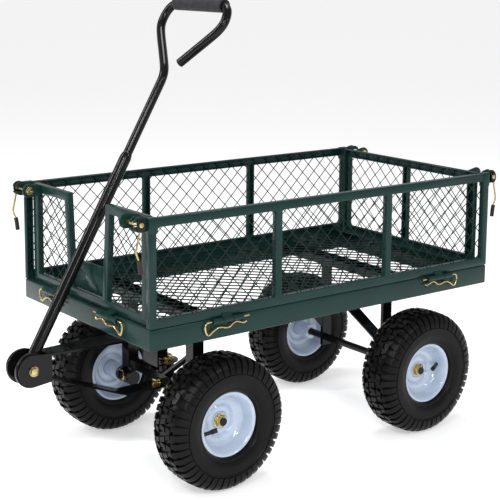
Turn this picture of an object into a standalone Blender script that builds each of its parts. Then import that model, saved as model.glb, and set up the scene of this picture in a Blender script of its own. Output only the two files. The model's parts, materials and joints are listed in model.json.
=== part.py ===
"""Steel garden cart: tray on four pneumatic wheels, folding mesh sides, steered front axle, pull handle.

The front of the cart points along -X, its right-hand side is +Y and +Z is up.
The origin is on the floor, under the middle of the cart's overall box.
"""

from math import cos, pi, radians, sin

import bmesh
import bpy
from mathutils import Matrix, Vector

# ---- driving dimensions, metres ----
BED_LENGTH = 0.8636
BED_WIDTH = 0.470
BED_FRONT_X = -0.3712          # front face of the tray
BED_BACK_X = BED_FRONT_X + BED_LENGTH
HALF_BED = BED_WIDTH / 2
TRAY_BOTTOM_Z = 0.3037
TRAY_TOP_Z = 0.3432
TRAY_SHEET = 0.002
TRAY_FLANGE = 0.025
FLOOR_SHEET = 0.0008
CROSS_HEIGHT = 0.018
GAP = 0.0003                   # running clearance between neighbouring pieces

WHEEL_RADIUS = 0.130
TYRE_HALF_WIDTH = 0.0438
HALF_TRACK = 0.198
REAR_AXLE_X = BED_FRONT_X + 0.699
SPINDLE_RADIUS = 0.008
HUB_RADIUS = 0.0155

PANEL_BOTTOM_Z = 0.3455
PANEL_TOP_Z = 0.5445
PANEL_THICKNESS = 0.012
PANEL_SHEET = 0.0015
RAIL_HEIGHT = 0.017
POST_WIDTH = 0.015
MESH_SHEET = 0.0004
END_PANEL_HALF = 0.203
END_PANEL_SETBACK = 0.012
NOTCH_TOP_HALF = 0.070
NOTCH_FOOT_HALF = 0.056
NOTCH_PLATE_TOP_Z = 0.418

BARREL_RADIUS = 0.0052
BARREL_BORE = 0.0033
BARREL_Z = 0.339
BARREL_STANDOFF = 0.0056       # barrel axis outside the tray wall
KNUCKLE_LENGTH = 0.022
CLIP_WIRE = 0.002

LATCH_STANDOFF = 0.0154        # latch axis ahead of the tray's end face
LATCH_Z = 0.535
LATCH_EAR_RADIUS = 0.014
LATCH_BOLT = 0.004
INNER_EAR_Y = 0.182
OUTER_EAR_Y = 0.220
LEVER_Y = 0.2315

KING_X = BED_FRONT_X + 0.190
LEG_X = BED_FRONT_X + 0.178
LEG_Y = 0.117
LEG_SIDE = 0.025
LEG_FOOT_Z = 0.1515
PIVOT_X = BED_FRONT_X - 0.1205
PIVOT_Z = 0.237
CHEEK_RADIUS = 0.031
HANDLE_LEAN = radians(30)
TIE_OFFSET_X = 0.045
TIE_OFFSET_Y = 0.020

SIDES = {"left": -1, "right": 1}
ENDS = {"front": -1, "rear": 1}


# ---- scene and materials ----
def clear_scene():
    for old in list(bpy.data.objects):
        bpy.data.objects.remove(old, do_unlink=True)


def new_collection(name):
    made = bpy.data.collections.new(name)
    bpy.context.scene.collection.children.link(made)
    return made


def paint(name, colour, roughness, metallic=0.0):
    made = bpy.data.materials.new(name)
    made.use_nodes = True
    shader = made.node_tree.nodes["Principled BSDF"]
    shader.inputs["Base Color"].default_value = (*colour, 1.0)
    shader.inputs["Roughness"].default_value = roughness
    shader.inputs["Metallic"].default_value = metallic
    return made


clear_scene()
PARTS = new_collection("garden_cart")
CUTTERS = new_collection("cutters")
GREEN = paint("green_powder_coat", (0.022, 0.062, 0.058), 0.35)
BLACK = paint("black_powder_coat", (0.010, 0.010, 0.011), 0.25)
RUBBER = paint("tyre_rubber", (0.018, 0.018, 0.018), 0.7)
RIM_BLUE = paint("rim_enamel", (0.56, 0.62, 0.76), 0.2)
ZINC = paint("yellow_zinc", (0.62, 0.50, 0.26), 0.3, 1.0)
GRIP = paint("grip_foam", (0.045, 0.045, 0.048), 0.8)
VINYL = paint("lever_vinyl", (0.06, 0.03, 0.04), 0.5)


# ---- shape helpers ----
def add_object(name, data, location=(0, 0, 0), material=None, collection=None):
    made = bpy.data.objects.new(name, data)
    made.location = location
    (collection or PARTS).objects.link(made)
    if material:
        made.data.materials.append(material)
    return made


def as_cutter(made):
    made.hide_render = True
    made.display_type = "WIRE"
    return made


def mesh_from(bm, name):
    mesh = bpy.data.meshes.new(name)
    bm.to_mesh(mesh)
    bm.free()
    return mesh


def boxes(name, spans, material=None, collection=None):
    """One object of boxes, each given by its low and high corners."""
    bm = bmesh.new()
    for low, high in spans:
        low, high = Vector(low), Vector(high)
        place = Matrix.Translation((low + high) / 2) @ Matrix.Diagonal((*(high - low), 1))
        bmesh.ops.create_cube(bm, size=1.0, matrix=place)
    return add_object(name, mesh_from(bm, name), material=material, collection=collection)


def turn_to(axis):
    return Vector((0, 0, 1)).rotation_difference(Vector(axis)).to_matrix().to_4x4()


def rods(name, spans, radius, segments=16, material=None, collection=None, phase=0.0):
    """One object of cylinders, each given by its two end points."""
    bm = bmesh.new()
    for start, end in spans:
        start, end = Vector(start), Vector(end)
        place = Matrix.Translation((start + end) / 2) @ turn_to(end - start)
        place = place @ Matrix.Rotation(phase, 4, "Z")
        bmesh.ops.create_cone(bm, cap_ends=True, segments=segments, radius1=radius,
                              radius2=radius, depth=(end - start).length, matrix=place)
    made = add_object(name, mesh_from(bm, name), material=material, collection=collection)
    smooth(made)
    return made


def smooth(made):
    if segments_are_round(made):
        made.data.shade_smooth()
        made.data.set_sharp_from_angle(angle=radians(35))


def segments_are_round(made):
    return len(made.data.polygons) > 8


def turned(name, profile, centre, side, segments, material, closed=False, thickness=0.0):
    """A profile of (radius, offset) points turned about the Y axis through centre.

    side is +1 or -1 and mirrors the offsets, so that positive offsets point inboard.
    """
    bm = bmesh.new()
    points = [bm.verts.new((radius, 0, offset)) for radius, offset in profile]
    for first, second in zip(points, points[1:]):
        bm.edges.new((first, second))
    if closed:
        bm.edges.new((points[-1], points[0]))
    made = add_object(name, mesh_from(bm, name), centre, material)
    made.rotation_euler = (radians(90) * side, 0, 0)
    screw = made.modifiers.new("turn", "SCREW")
    screw.angle = 2 * pi
    screw.steps = screw.render_steps = segments
    screw.use_merge_vertices = True
    screw.merge_threshold = 0.00005
    screw.use_normal_calculate = True
    if thickness:
        wall = made.modifiers.new("wall", "SOLIDIFY")
        wall.thickness = thickness
        wall.offset = -1
        wall.use_even_offset = True
    return made


def flat_plate(name, outline, thickness, place, material=None, collection=None):
    """A flat outline in its own plane, extruded both ways, then put in place by a matrix."""
    curve = bpy.data.curves.new(name, "CURVE")
    curve.dimensions = "2D"
    curve.fill_mode = "BOTH"
    curve.extrude = thickness / 2
    spline = curve.splines.new("POLY")
    spline.points.add(len(outline) - 1)
    for point, (u, v) in zip(spline.points, outline):
        point.co = (u, v, 0, 1)
    spline.use_cyclic_u = True
    made = add_object(name, curve, material=material, collection=collection)
    made.matrix_world = place
    return to_mesh(made, material)


def wire(name, points, radius, material=None, collection=None, resolution=1, hollow=0.0):
    """A round wire along a list of points; hollow is a tube's wall thickness."""
    curve = bpy.data.curves.new(name, "CURVE")
    curve.dimensions = "3D"
    curve.bevel_depth = radius
    curve.bevel_resolution = resolution
    curve.use_fill_caps = not hollow
    spline = curve.splines.new("POLY")
    spline.points.add(len(points) - 1)
    for point, place in zip(spline.points, points):
        point.co = (*place, 1)
    made = to_mesh(add_object(name, curve, collection=collection), material)
    if hollow:
        wall = made.modifiers.new("wall", "SOLIDIFY")
        wall.thickness = hollow
        wall.offset = -1
        wall.use_even_offset = True
    made.data.shade_smooth()
    made.data.set_sharp_from_angle(angle=radians(50))
    return made


def to_mesh(curve_object, material):
    """Replace a curve object by its mesh, with its caps welded, under the same name."""
    name, place = curve_object.name, curve_object.matrix_world.copy()
    home = curve_object.users_collection[0]
    bpy.context.view_layer.update()
    graph = bpy.context.evaluated_depsgraph_get()
    mesh = bpy.data.meshes.new_from_object(curve_object.evaluated_get(graph))
    bpy.data.objects.remove(curve_object, do_unlink=True)
    bm = bmesh.new()
    bm.from_mesh(mesh)
    bmesh.ops.remove_doubles(bm, verts=bm.verts, dist=0.00002)
    bmesh.ops.recalc_face_normals(bm, faces=bm.faces)
    bm.to_mesh(mesh)
    bm.free()
    mesh.materials.clear()
    made = add_object(name, mesh, material=material, collection=home)
    made.matrix_world = place
    return made


def combine(made, operation, *tools):
    """Cut tools out of an object, or join them to it."""
    for tool in tools:
        as_cutter(tool)
        step = made.modifiers.new(operation.lower() + "_" + tool.name, "BOOLEAN")
        step.operation = operation
        step.solver = "EXACT"
        step.object = tool
    return made


def cut(made, *tools):
    return combine(made, "DIFFERENCE", *tools)


def join(made, *tools):
    return combine(made, "UNION", *tools)


def arc(centre, radius, start, end, steps):
    """Points of an arc, degrees, end included."""
    spread = [radians(start + (end - start) * step / steps) for step in range(steps + 1)]
    return [(centre[0] + radius * cos(a), centre[1] + radius * sin(a)) for a in spread]


def rounded_path(corners, radii, steps=5):
    """Corner points with each inner corner replaced by a circular arc of its radius."""
    path = [Vector(corners[0])]
    for before, corner, after, radius in zip(corners, corners[1:], corners[2:], radii):
        before, corner, after = Vector(before), Vector(corner), Vector(after)
        back, ahead = (before - corner).normalized(), (after - corner).normalized()
        half = back.angle(ahead) / 2
        reach = radius / sin(half) * cos(half)
        centre = corner + (back + ahead).normalized() * (radius / sin(half))
        first, last = corner + back * reach - centre, corner + ahead * reach - centre
        swing = first.rotation_difference(last)
        for step in range(steps + 1):
            part = swing.copy()
            part = part.slerp(Matrix.Identity(3).to_quaternion(), 1 - step / steps)
            path.append(centre + part @ first)
    path.append(Vector(corners[-1]))
    return path


PLANE_XZ = Matrix.Rotation(radians(90), 4, "X")      # outline (u, v) -> (u, 0, v)
PLANE_YZ = Matrix(((0, 0, 1, 0), (1, 0, 0, 0), (0, 1, 0, 0), (0, 0, 0, 1)))


def at(x=0.0, y=0.0, z=0.0):
    return Matrix.Translation((x, y, z))


# ---- tray and its cross members ----
def barrel_frames():
    """Each hinge barrel: panel name, index, centre, unit axis and unit outward direction."""
    frames = []
    for side, sign in SIDES.items():
        for index, x in enumerate((BED_FRONT_X + 0.166, BED_BACK_X - 0.148)):
            centre = Vector((x, sign * (HALF_BED + BARREL_STANDOFF), BARREL_Z))
            away = Vector((-1 if index == 0 else 1, 0, 0))
            frames.append((side, index, centre, away, Vector((0, sign, 0))))
    for end, sign in ENDS.items():
        face = BED_FRONT_X if sign < 0 else BED_BACK_X
        for index, y in enumerate((-0.100, 0.110)):
            centre = Vector((face + sign * BARREL_STANDOFF, y, BARREL_Z))
            away = Vector((0, -1 if index == 0 else 1, 0))
            frames.append((end, index, centre, away, Vector((sign, 0, 0))))
    return frames


def barrel_knuckles(centre, axis, offsets, bore):
    half = axis * (KNUCKLE_LENGTH / 2 if bore else KNUCKLE_LENGTH)
    return [(centre + axis * shift - half, centre + axis * shift + half) for shift in offsets]


def build_tray():
    tray = boxes("bed_tray", [((BED_FRONT_X, -HALF_BED, TRAY_BOTTOM_Z),
                               (BED_BACK_X, HALF_BED, TRAY_TOP_Z))], GREEN)
    inset = TRAY_SHEET
    hollow = boxes("tray_hollow", [((BED_FRONT_X + inset, -HALF_BED + inset, TRAY_BOTTOM_Z + inset),
                                    (BED_BACK_X - inset, HALF_BED - inset, TRAY_TOP_Z + 0.02))],
                   collection=CUTTERS)
    mouth = TRAY_FLANGE
    opening = boxes("tray_opening", [((BED_FRONT_X + mouth, -HALF_BED + mouth, TRAY_BOTTOM_Z - 0.01),
                                      (BED_BACK_X - mouth, HALF_BED - mouth, TRAY_TOP_Z))],
                    collection=CUTTERS)
    cut(tray, hollow, opening)
    pads, sleeves, bores = [], [], []
    for _, _, centre, axis, outward in barrel_frames():
        for shift in (-1.06, 1.06):
            middle = centre + axis * shift * KNUCKLE_LENGTH
            half = axis * KNUCKLE_LENGTH / 2
            sleeves.append((middle - half, middle + half))
            corner = middle - outward * (BARREL_STANDOFF + TRAY_SHEET / 2)
            span = Vector([abs(c) for c in half])
            low = Vector([min(a, b) for a, b in zip(corner, middle)]) - span
            high = Vector([max(a, b) for a, b in zip(corner, middle)]) + span
            pads.append((low - Vector((0, 0, 0.0045)), high + Vector((0, 0, 0.0035))))
        reach = axis * KNUCKLE_LENGTH * 2
        bores.append((centre - reach, centre + reach))
    join(tray, boxes("barrel_pads", pads, collection=CUTTERS))
    join(tray, rods("barrel_sleeves", sleeves, BARREL_RADIUS, 12, collection=CUTTERS))
    cut(tray, rods("barrel_bores", bores, BARREL_BORE, 10, collection=CUTTERS))
    return tray


def build_bed():
    floor_z = TRAY_BOTTOM_Z + TRAY_SHEET + CROSS_HEIGHT + 2 * GAP
    inset = TRAY_SHEET + 2 * GAP
    boxes("bed_floor", [((BED_FRONT_X + inset, -HALF_BED + inset, floor_z),
                         (BED_BACK_X - inset, HALF_BED - inset, floor_z + FLOOR_SHEET))], GREEN)
    low = TRAY_BOTTOM_Z + TRAY_SHEET + GAP
    for end, x in (("front", LEG_X), ("rear", REAR_AXLE_X)):
        member = boxes(end + "_cross_member", [((x - 0.020, -HALF_BED + inset, low),
                                                (x + 0.020, HALF_BED - inset, low + CROSS_HEIGHT))],
                       BLACK)
        channel = boxes(end + "_cross_channel", [((x - 0.018, -HALF_BED, low + 0.002),
                                                  (x + 0.018, HALF_BED, low + CROSS_HEIGHT + 0.01))],
                        collection=CUTTERS)
        cut(member, channel)
    return floor_z + FLOOR_SHEET


# ---- running gear frames ----
def slanted_bar(name, start, end, width, thickness, wide, collection=CUTTERS, material=None):
    """A flat bar from start to end; wide is the direction of its width."""
    start, end, wide = Vector(start), Vector(end), Vector(wide).normalized()
    along = (end - start).normalized()
    across = along.cross(wide).normalized()
    frame = Matrix((wide, across, along)).transposed().to_4x4()
    bm = bmesh.new()
    size = Matrix.Diagonal((width, thickness, (end - start).length, 1))
    bmesh.ops.create_cube(bm, size=1.0, matrix=at(*((start + end) / 2)) @ frame @ size)
    return add_object(name, mesh_from(bm, name), material=material, collection=collection)


def build_front_frame():
    """Two square legs, a cross bar, two V braces and the king tube, welded together."""
    half = LEG_SIDE / 2
    top = TRAY_BOTTOM_Z + TRAY_SHEET
    inner = LEG_Y - half
    frame = boxes("front_axle_frame", [((LEG_X - 0.010, -inner - 0.001, 0.1555),
                                        (LEG_X + 0.010, inner + 0.001, 0.1735))], BLACK)
    join(frame, boxes("front_legs", [((LEG_X - half, sign * LEG_Y - half, LEG_FOOT_Z),
                                      (LEG_X + half, sign * LEG_Y + half, top))
                                     for sign in (-1, 1)], collection=CUTTERS))
    for side, sign in SIDES.items():
        join(frame, slanted_bar("v_brace_" + side, (LEG_X, sign * (inner + 0.004), 0.236),
                                (LEG_X, sign * 0.012, 0.168), 0.020, 0.005, (1, 0, 0)))
    join(frame, rods("king_tube", [((KING_X, 0, 0.1515), (KING_X, 0, 0.1925))], 0.016, 16,
                     collection=CUTTERS))
    wall = half - 0.002
    cut(frame, boxes("leg_hollows", [((LEG_X - wall, sign * LEG_Y - wall, LEG_FOOT_Z - 0.01),
                                      (LEG_X + wall, sign * LEG_Y + wall, top - 0.003))
                                     for sign in (-1, 1)], collection=CUTTERS))
    cut(frame, rods("king_bore", [((KING_X, 0, 0.14), (KING_X, 0, 0.2))], 0.0066, 16,
                    collection=CUTTERS))


def build_rear_frame():
    """A leg and a diagonal brace on each side, and the straight axle they carry."""
    half = LEG_SIDE / 2
    top = TRAY_BOTTOM_Z + TRAY_SHEET
    leg_y = 0.100
    for side, sign in SIDES.items():
        leg = boxes("rear_leg_" + side, [((REAR_AXLE_X - half, sign * leg_y - 0.004, 0.112),
                                          (REAR_AXLE_X + half, sign * leg_y + 0.004, top))], BLACK)
        join(leg, slanted_bar("rear_brace_" + side, (REAR_AXLE_X - 0.150, sign * leg_y, top + 0.004),
                              (REAR_AXLE_X, sign * leg_y, 0.160), 0.006, 0.022, (0, 1, 0)))
        trim = boxes("rear_brace_trim_" + side,
                     [((REAR_AXLE_X - 0.3, sign * leg_y - 0.05, top),
                       (REAR_AXLE_X + 0.1, sign * leg_y + 0.05, top + 0.05))], collection=CUTTERS)
        bore = rods("rear_leg_bore_" + side, [((REAR_AXLE_X, sign * leg_y - 0.03, WHEEL_RADIUS),
                                               (REAR_AXLE_X, sign * leg_y + 0.03, WHEEL_RADIUS))],
                    SPINDLE_RADIUS + GAP + 0.0002, 16, collection=CUTTERS)
        cut(leg, trim, bore)
    end = HALF_TRACK + 0.0150
    rods("rear_axle", [((REAR_AXLE_X, -end, WHEEL_RADIUS), (REAR_AXLE_X, end, WHEEL_RADIUS))],
         SPINDLE_RADIUS, 16, BLACK)


def build_knuckles():
    """Spindle, collar, upright pin and steering arm of each front wheel."""
    for side, sign in SIDES.items():
        name = "steering_knuckle_" + side
        z = WHEEL_RADIUS
        knuckle = rods(name, [((LEG_X, sign * 0.108, z), (LEG_X, sign * (HALF_TRACK + 0.0150), z))],
                       SPINDLE_RADIUS, 16, BLACK)
        join(knuckle, rods("collar_" + side, [((LEG_X, sign * 0.104, z), (LEG_X, sign * 0.1515, z))],
                           0.0152, 16, collection=CUTTERS))
        join(knuckle, rods("upright_" + side, [((LEG_X, sign * LEG_Y, z), (LEG_X, sign * LEG_Y, 0.285))],
                           0.0085, 12, collection=CUTTERS))
        tip = (LEG_X + TIE_OFFSET_X, sign * (LEG_Y + TIE_OFFSET_Y))
        join(knuckle, arm_plate("arm_" + side, (LEG_X, sign * LEG_Y), tip, 0.011, 0.1440, 0.1510))
        cut(knuckle, rods("arm_hole_" + side, [((*tip, 0.13), (*tip, 0.17))], 0.0046, 12,
                          collection=CUTTERS))


def arm_plate(name, start, end, radius, low, high, material=None, collection=CUTTERS):
    """A flat link with round ends, lying level."""
    along = (Vector(end) - Vector(start)).normalized()
    turn = along.angle_signed(Vector((1, 0))) * 180 / pi
    outline = arc(end, radius, turn - 90, turn + 90, 6) + arc(start, radius, turn + 90, turn + 270, 6)
    return flat_plate(name, outline, high - low, at(z=(low + high) / 2), material, collection)


def build_tie_rods():
    """Links from the tongue's tail to the knuckle arms, with their pivot studs."""
    for side, sign in SIDES.items():
        inner = (KING_X + TIE_OFFSET_X, sign * TIE_OFFSET_Y)
        outer = (LEG_X + TIE_OFFSET_X, sign * (LEG_Y + TIE_OFFSET_Y))
        link = arm_plate("tie_rod_" + side, inner, outer, 0.009, 0.1385, 0.1435, BLACK, PARTS)
        studs = [((*place, 0.1405), (*place, 0.1545)) for place in (inner, outer)]
        join(link, rods("tie_studs_" + side, studs, 0.004, 12, collection=CUTTERS))


# ---- tongue ----
def build_tongue():
    """Clevis bracket, top bar, lower bar and the king bolt that they swing on."""
    cheek_back = BED_FRONT_X - 0.0817
    outline = arc((PIVOT_X, PIVOT_Z), CHEEK_RADIUS, 90, 270, 12)
    outline += [(cheek_back, 0.2105), (cheek_back, 0.2625)]
    clevis = boxes("tongue_clevis", [((cheek_back - 0.004, -0.0265, 0.2105),
                                      (cheek_back, 0.0265, 0.2625))], BLACK)
    for side, sign in SIDES.items():
        join(clevis, flat_plate("cheek_" + side, outline, 0.004,
                                at(y=sign * 0.0245) @ PLANE_XZ, None, CUTTERS))
    bolt_line = [((PIVOT_X, -0.05, PIVOT_Z), (PIVOT_X, 0.05, PIVOT_Z))]
    cut(clevis, rods("clevis_bore", bolt_line, 0.0054, 12, collection=CUTTERS))

    front = cheek_back + GAP
    plan = [(front, -0.020), (front, 0.020), (BED_FRONT_X + 0.070, 0.029), (BED_FRONT_X + 0.1745, 0.029),
            (BED_FRONT_X + 0.1745, -0.029), (BED_FRONT_X + 0.070, -0.029)]
    top_bar = flat_plate("tongue_top_bar", plan, 0.005, at(z=0.2600), BLACK)
    box_front, box_back = BED_FRONT_X + 0.150, BED_FRONT_X + 0.1745
    flanges = [((box_front, sign * 0.027 - 0.002, 0.2115), (box_back, sign * 0.027 + 0.002, 0.2600))
               for sign in (-1, 1)]
    join(top_bar, boxes("tongue_flanges", flanges, collection=CUTTERS))
    join(top_bar, boxes("tongue_front_wall", [((box_front, -0.029, 0.1935),
                                               (box_front + 0.004, 0.029, 0.2600))],
                        collection=CUTTERS))
    king_plan = arc((KING_X, 0), 0.024, -80, 80, 8)
    king_plan += [(box_front + 0.002, 0.0275), (box_front + 0.002, -0.0275)]
    join(top_bar, flat_plate("king_plate", king_plan, 0.004, at(z=0.1955), None, CUTTERS))
    cut(top_bar, rods("king_plate_hole", [((KING_X, 0, 0.18), (KING_X, 0, 0.205))], 0.0064, 16,
                      collection=CUTTERS))

    side_view = [(front, 0.2110), (front, 0.2150), (BED_FRONT_X + 0.085, 0.1508),
                 (BED_FRONT_X + 0.255, 0.1508), (BED_FRONT_X + 0.255, 0.1468), (BED_FRONT_X + 0.084, 0.1468)]
    lower_bar = flat_plate("tongue_lower_bar", side_view, 0.080, PLANE_XZ, BLACK)
    tail = [(BED_FRONT_X + 0.262, 0.014), (BED_FRONT_X + 0.244, 0.034), (BED_FRONT_X + 0.206, 0.036),
            (BED_FRONT_X + 0.165, 0.021), (BED_FRONT_X - 0.120, 0.020)]
    shape = tail + [(x, -y) for x, y in reversed(tail)]
    keep = flat_plate("lower_bar_plan", shape, 0.3, at(z=0.2), None, CUTTERS)
    combine(lower_bar, "INTERSECT", keep)
    holes = [((KING_X, 0, 0.13), (KING_X, 0, 0.17))]
    cut(lower_bar, rods("lower_king_hole", holes, 0.0064, 16, collection=CUTTERS))
    ties = [((KING_X + TIE_OFFSET_X, sign * TIE_OFFSET_Y, 0.13),
             (KING_X + TIE_OFFSET_X, sign * TIE_OFFSET_Y, 0.17)) for sign in (-1, 1)]
    cut(lower_bar, rods("lower_tie_holes", ties, 0.0046, 12, collection=CUTTERS))

    bolt = rods("king_bolt", [((KING_X, 0, 0.1340), (KING_X, 0, 0.2000))], 0.006, 16, ZINC)
    join(bolt, rods("king_bolt_head", [((KING_X, 0, 0.1979), (KING_X, 0, 0.2055))], 0.0108, 6,
                    collection=CUTTERS))
    join(bolt, rods("king_bolt_nut", [((KING_X, 0, 0.1365), (KING_X, 0, 0.1463))], 0.0108, 6,
                    collection=CUTTERS))


# ---- handle ----
def shaft_point(reach, sideways=0.0):
    """A point at a distance from the pivot along the leaning shaft, and off it sideways."""
    return Vector((PIVOT_X + reach * sin(HANDLE_LEAN), sideways, PIVOT_Z + reach * cos(HANDLE_LEAN)))


def build_handle():
    drum = rods("handle_pivot_drum", [((PIVOT_X, -0.0205, PIVOT_Z), (PIVOT_X, 0.0205, PIVOT_Z))],
                0.029, 24, BLACK)
    cut(drum, rods("drum_hollow", [((PIVOT_X, -0.0165, PIVOT_Z), (PIVOT_X, 0.0165, PIVOT_Z))],
                   0.0255, 24, collection=CUTTERS))
    cut(drum, rods("drum_bore", [((PIVOT_X, -0.03, PIVOT_Z), (PIVOT_X, 0.03, PIVOT_Z))],
                   0.0054, 12, collection=CUTTERS))
    joint = 0.445
    wire("handle_lower_tube", [shaft_point(0.0297), shaft_point(joint)], 0.0115, BLACK,
         resolution=4, hollow=0.002)
    corners = [(joint - 0.060, 0), (0.617, 0), (0.722, 0.097), (0.770, 0.087), (0.770, -0.104),
               (0.735, -0.119), (0.643, -0.0303)]
    path = rounded_path([shaft_point(*corner) for corner in corners], [0.030, 0.018, 0.018, 0.018, 0.018], 4)
    wire("handle_upper_tube", path, 0.0088, BLACK, resolution=2, hollow=0.0018)
    sleeve = [shaft_point(0.770, 0.072), shaft_point(0.770, -0.091)]
    wire("handle_grip", sleeve, 0.0134, GRIP, resolution=4, hollow=0.0036)
    bolt = rods("handle_pivot_bolt", [((PIVOT_X, -0.031, PIVOT_Z), (PIVOT_X, 0.036, PIVOT_Z))],
                0.005, 12, ZINC)
    ends = [((PIVOT_X, -0.0335, PIVOT_Z), (PIVOT_X, -0.0268, PIVOT_Z)),
            ((PIVOT_X, 0.0268, PIVOT_Z), (PIVOT_X, 0.0345, PIVOT_Z))]
    join(bolt, rods("handle_pivot_bolt_ends", ends, 0.0092, 6, collection=CUTTERS))


# ---- wheels ----
TYRE_PROFILE = [(0.0600, 0.0268), (0.0637, 0.0290), (0.0641, 0.0345), (0.0780, 0.0425), (0.0980, 0.0438),
                (0.1140, 0.0405), (0.1245, 0.0310), (0.1300, 0.0130)]
RIM_HALF = [(0.0150, 0.0016), (0.0330, 0.0016), (0.0360, 0.0040), (0.0440, 0.0040), (0.0500, 0.0110),
            (0.0545, 0.0265), (0.0585, 0.0325), (0.0630, 0.0325), (0.0630, 0.0305), (0.0595, 0.0300),
            (0.0565, 0.0250)]


def build_wheel(end, side, axle_x):
    """Tyre, rim with its welded hub, and axle nut of one wheel."""
    sign = SIDES[side]
    name = end + "_" + side
    centre = (axle_x, sign * HALF_TRACK, WHEEL_RADIUS)
    mirrored = [(radius, -offset) for radius, offset in reversed(TYRE_PROFILE)]
    turned("tyre_" + name, TYRE_PROFILE + mirrored, centre, 1, 32, RUBBER, thickness=0.0055)
    section = RIM_HALF + [(radius, -offset) for radius, offset in reversed(RIM_HALF)]
    rim = turned("rim_" + name, section, centre, 1, 24, RIM_BLUE, closed=True)
    inner, outer = 0.0455, 0.0024
    reach = [((axle_x, sign * (HALF_TRACK - inner), WHEEL_RADIUS),
              (axle_x, sign * (HALF_TRACK + outer), WHEEL_RADIUS))]
    join(rim, rods("hub_" + name, reach, HUB_RADIUS, 16, collection=CUTTERS))
    bore = [((axle_x, sign * (HALF_TRACK - 0.06), WHEEL_RADIUS),
             (axle_x, sign * (HALF_TRACK + 0.03), WHEEL_RADIUS))]
    cut(rim, rods("hub_bore_" + name, bore, SPINDLE_RADIUS + 0.0004, 16, collection=CUTTERS))
    start = sign * (HALF_TRACK + outer + GAP)
    nut = rods("axle_nut_" + name, [((axle_x, start, WHEEL_RADIUS),
                                     (axle_x, start + sign * 0.0022, WHEEL_RADIUS))], 0.0138, 16, ZINC)
    join(nut, rods("nut_hex_" + name, [((axle_x, start + sign * 0.0015, WHEEL_RADIUS),
                                        (axle_x, start + sign * 0.0105, WHEEL_RADIUS))],
                   0.0125, 6, collection=CUTTERS))
    cut(nut, rods("nut_bore_" + name, bore, SPINDLE_RADIUS + GAP, 16, collection=CUTTERS))


# ---- folding panels ----
def panel_windows(start, end, count):
    """Equal window spans between posts, along the panel."""
    bay = (end - start - POST_WIDTH * (count + 1)) / count
    return [(start + POST_WIDTH + i * (bay + POST_WIDTH), start + (i + 1) * (bay + POST_WIDTH))
            for i in range(count)]


WINDOW_LOW = PANEL_BOTTOM_Z + RAIL_HEIGHT
WINDOW_HIGH = PANEL_TOP_Z - RAIL_HEIGHT


def panel_solid(name, low, high, place, windows, slots):
    """A panel frame of folded channel: a slab with windows, hollow between its two faces.

    low and high are (along, z) corners, place maps (along, z, across) into the cart, windows
    and slots are outlines in the panel's plane; slots are where the hollow runs.
    """
    outline = [(low[0], low[1]), (high[0], low[1]), (high[0], high[1]), (low[0], high[1])]
    frame = flat_plate(name, outline, PANEL_THICKNESS, place, GREEN)
    for index, window in enumerate(windows):
        cut(frame, flat_plate(f"{name}_window_{index}", window, 0.05, place, None, CUTTERS))
    for index, slot in enumerate(slots):
        inner = PANEL_THICKNESS - 2 * PANEL_SHEET
        cut(frame, flat_plate(f"{name}_hollow_{index}", slot, inner, place, None, CUTTERS))
    return frame


def rectangle(low_u, low_v, high_u, high_v):
    return [(low_u, low_v), (high_u, low_v), (high_u, high_v), (low_u, high_v)]


def build_side_panel(side, sign):
    place = at(y=sign * (HALF_BED - PANEL_THICKNESS / 2)) @ PLANE_XZ
    windows = [rectangle(start, WINDOW_LOW, end, WINDOW_HIGH)
               for start, end in panel_windows(BED_FRONT_X, BED_BACK_X, 3)]
    skin = PANEL_SHEET
    slot = rectangle(BED_FRONT_X + skin, PANEL_BOTTOM_Z + skin, BED_BACK_X - skin, PANEL_TOP_Z - skin)
    frame = panel_solid(side + "_panel_frame", (BED_FRONT_X, PANEL_BOTTOM_Z),
                        (BED_BACK_X, PANEL_TOP_Z), place, windows, [slot])
    edge = skin + GAP
    flat_plate(side + "_panel_mesh", rectangle(BED_FRONT_X + edge, PANEL_BOTTOM_Z + edge,
                                               BED_BACK_X - edge, PANEL_TOP_Z - edge),
               MESH_SHEET, place, GREEN)
    for end, facing in ENDS.items():
        face = BED_FRONT_X if facing < 0 else BED_BACK_X
        axis_x = face + facing * LATCH_STANDOFF
        outline = arc((0, 0), LATCH_EAR_RADIUS, 90, 270, 10) + [(0.0165, -0.014), (0.0165, 0.009)]
        ear_place = at(axis_x, sign * OUTER_EAR_Y, LATCH_Z) @ Matrix.Diagonal((-facing, 1, 1, 1))
        ear = flat_plate(f"{side}_{end}_ear", outline, 0.015, ear_place @ PLANE_XZ, None, CUTTERS)
        fix_mirror(ear)
        join(frame, ear)
        span = sorted((axis_x - facing * 0.0055, axis_x + facing * 0.03))
        mouth = boxes(f"{side}_{end}_ear_mouth", [((span[0], sign * OUTER_EAR_Y - 0.02, LATCH_Z - 0.0070),
                                                   (span[1], sign * OUTER_EAR_Y + 0.02, LATCH_Z + 0.0060))],
                      collection=CUTTERS)
        cut(frame, mouth)
    add_panel_knuckles(frame, side)


def fix_mirror(made):
    """Turn the faces of a mirrored helper outwards again, with its place in its mesh."""
    bm = bmesh.new()
    bm.from_mesh(made.data)
    bm.transform(made.matrix_world)
    bmesh.ops.recalc_face_normals(bm, faces=bm.faces)
    bm.to_mesh(made.data)
    bm.free()
    made.matrix_world = Matrix.Identity(4)


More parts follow.
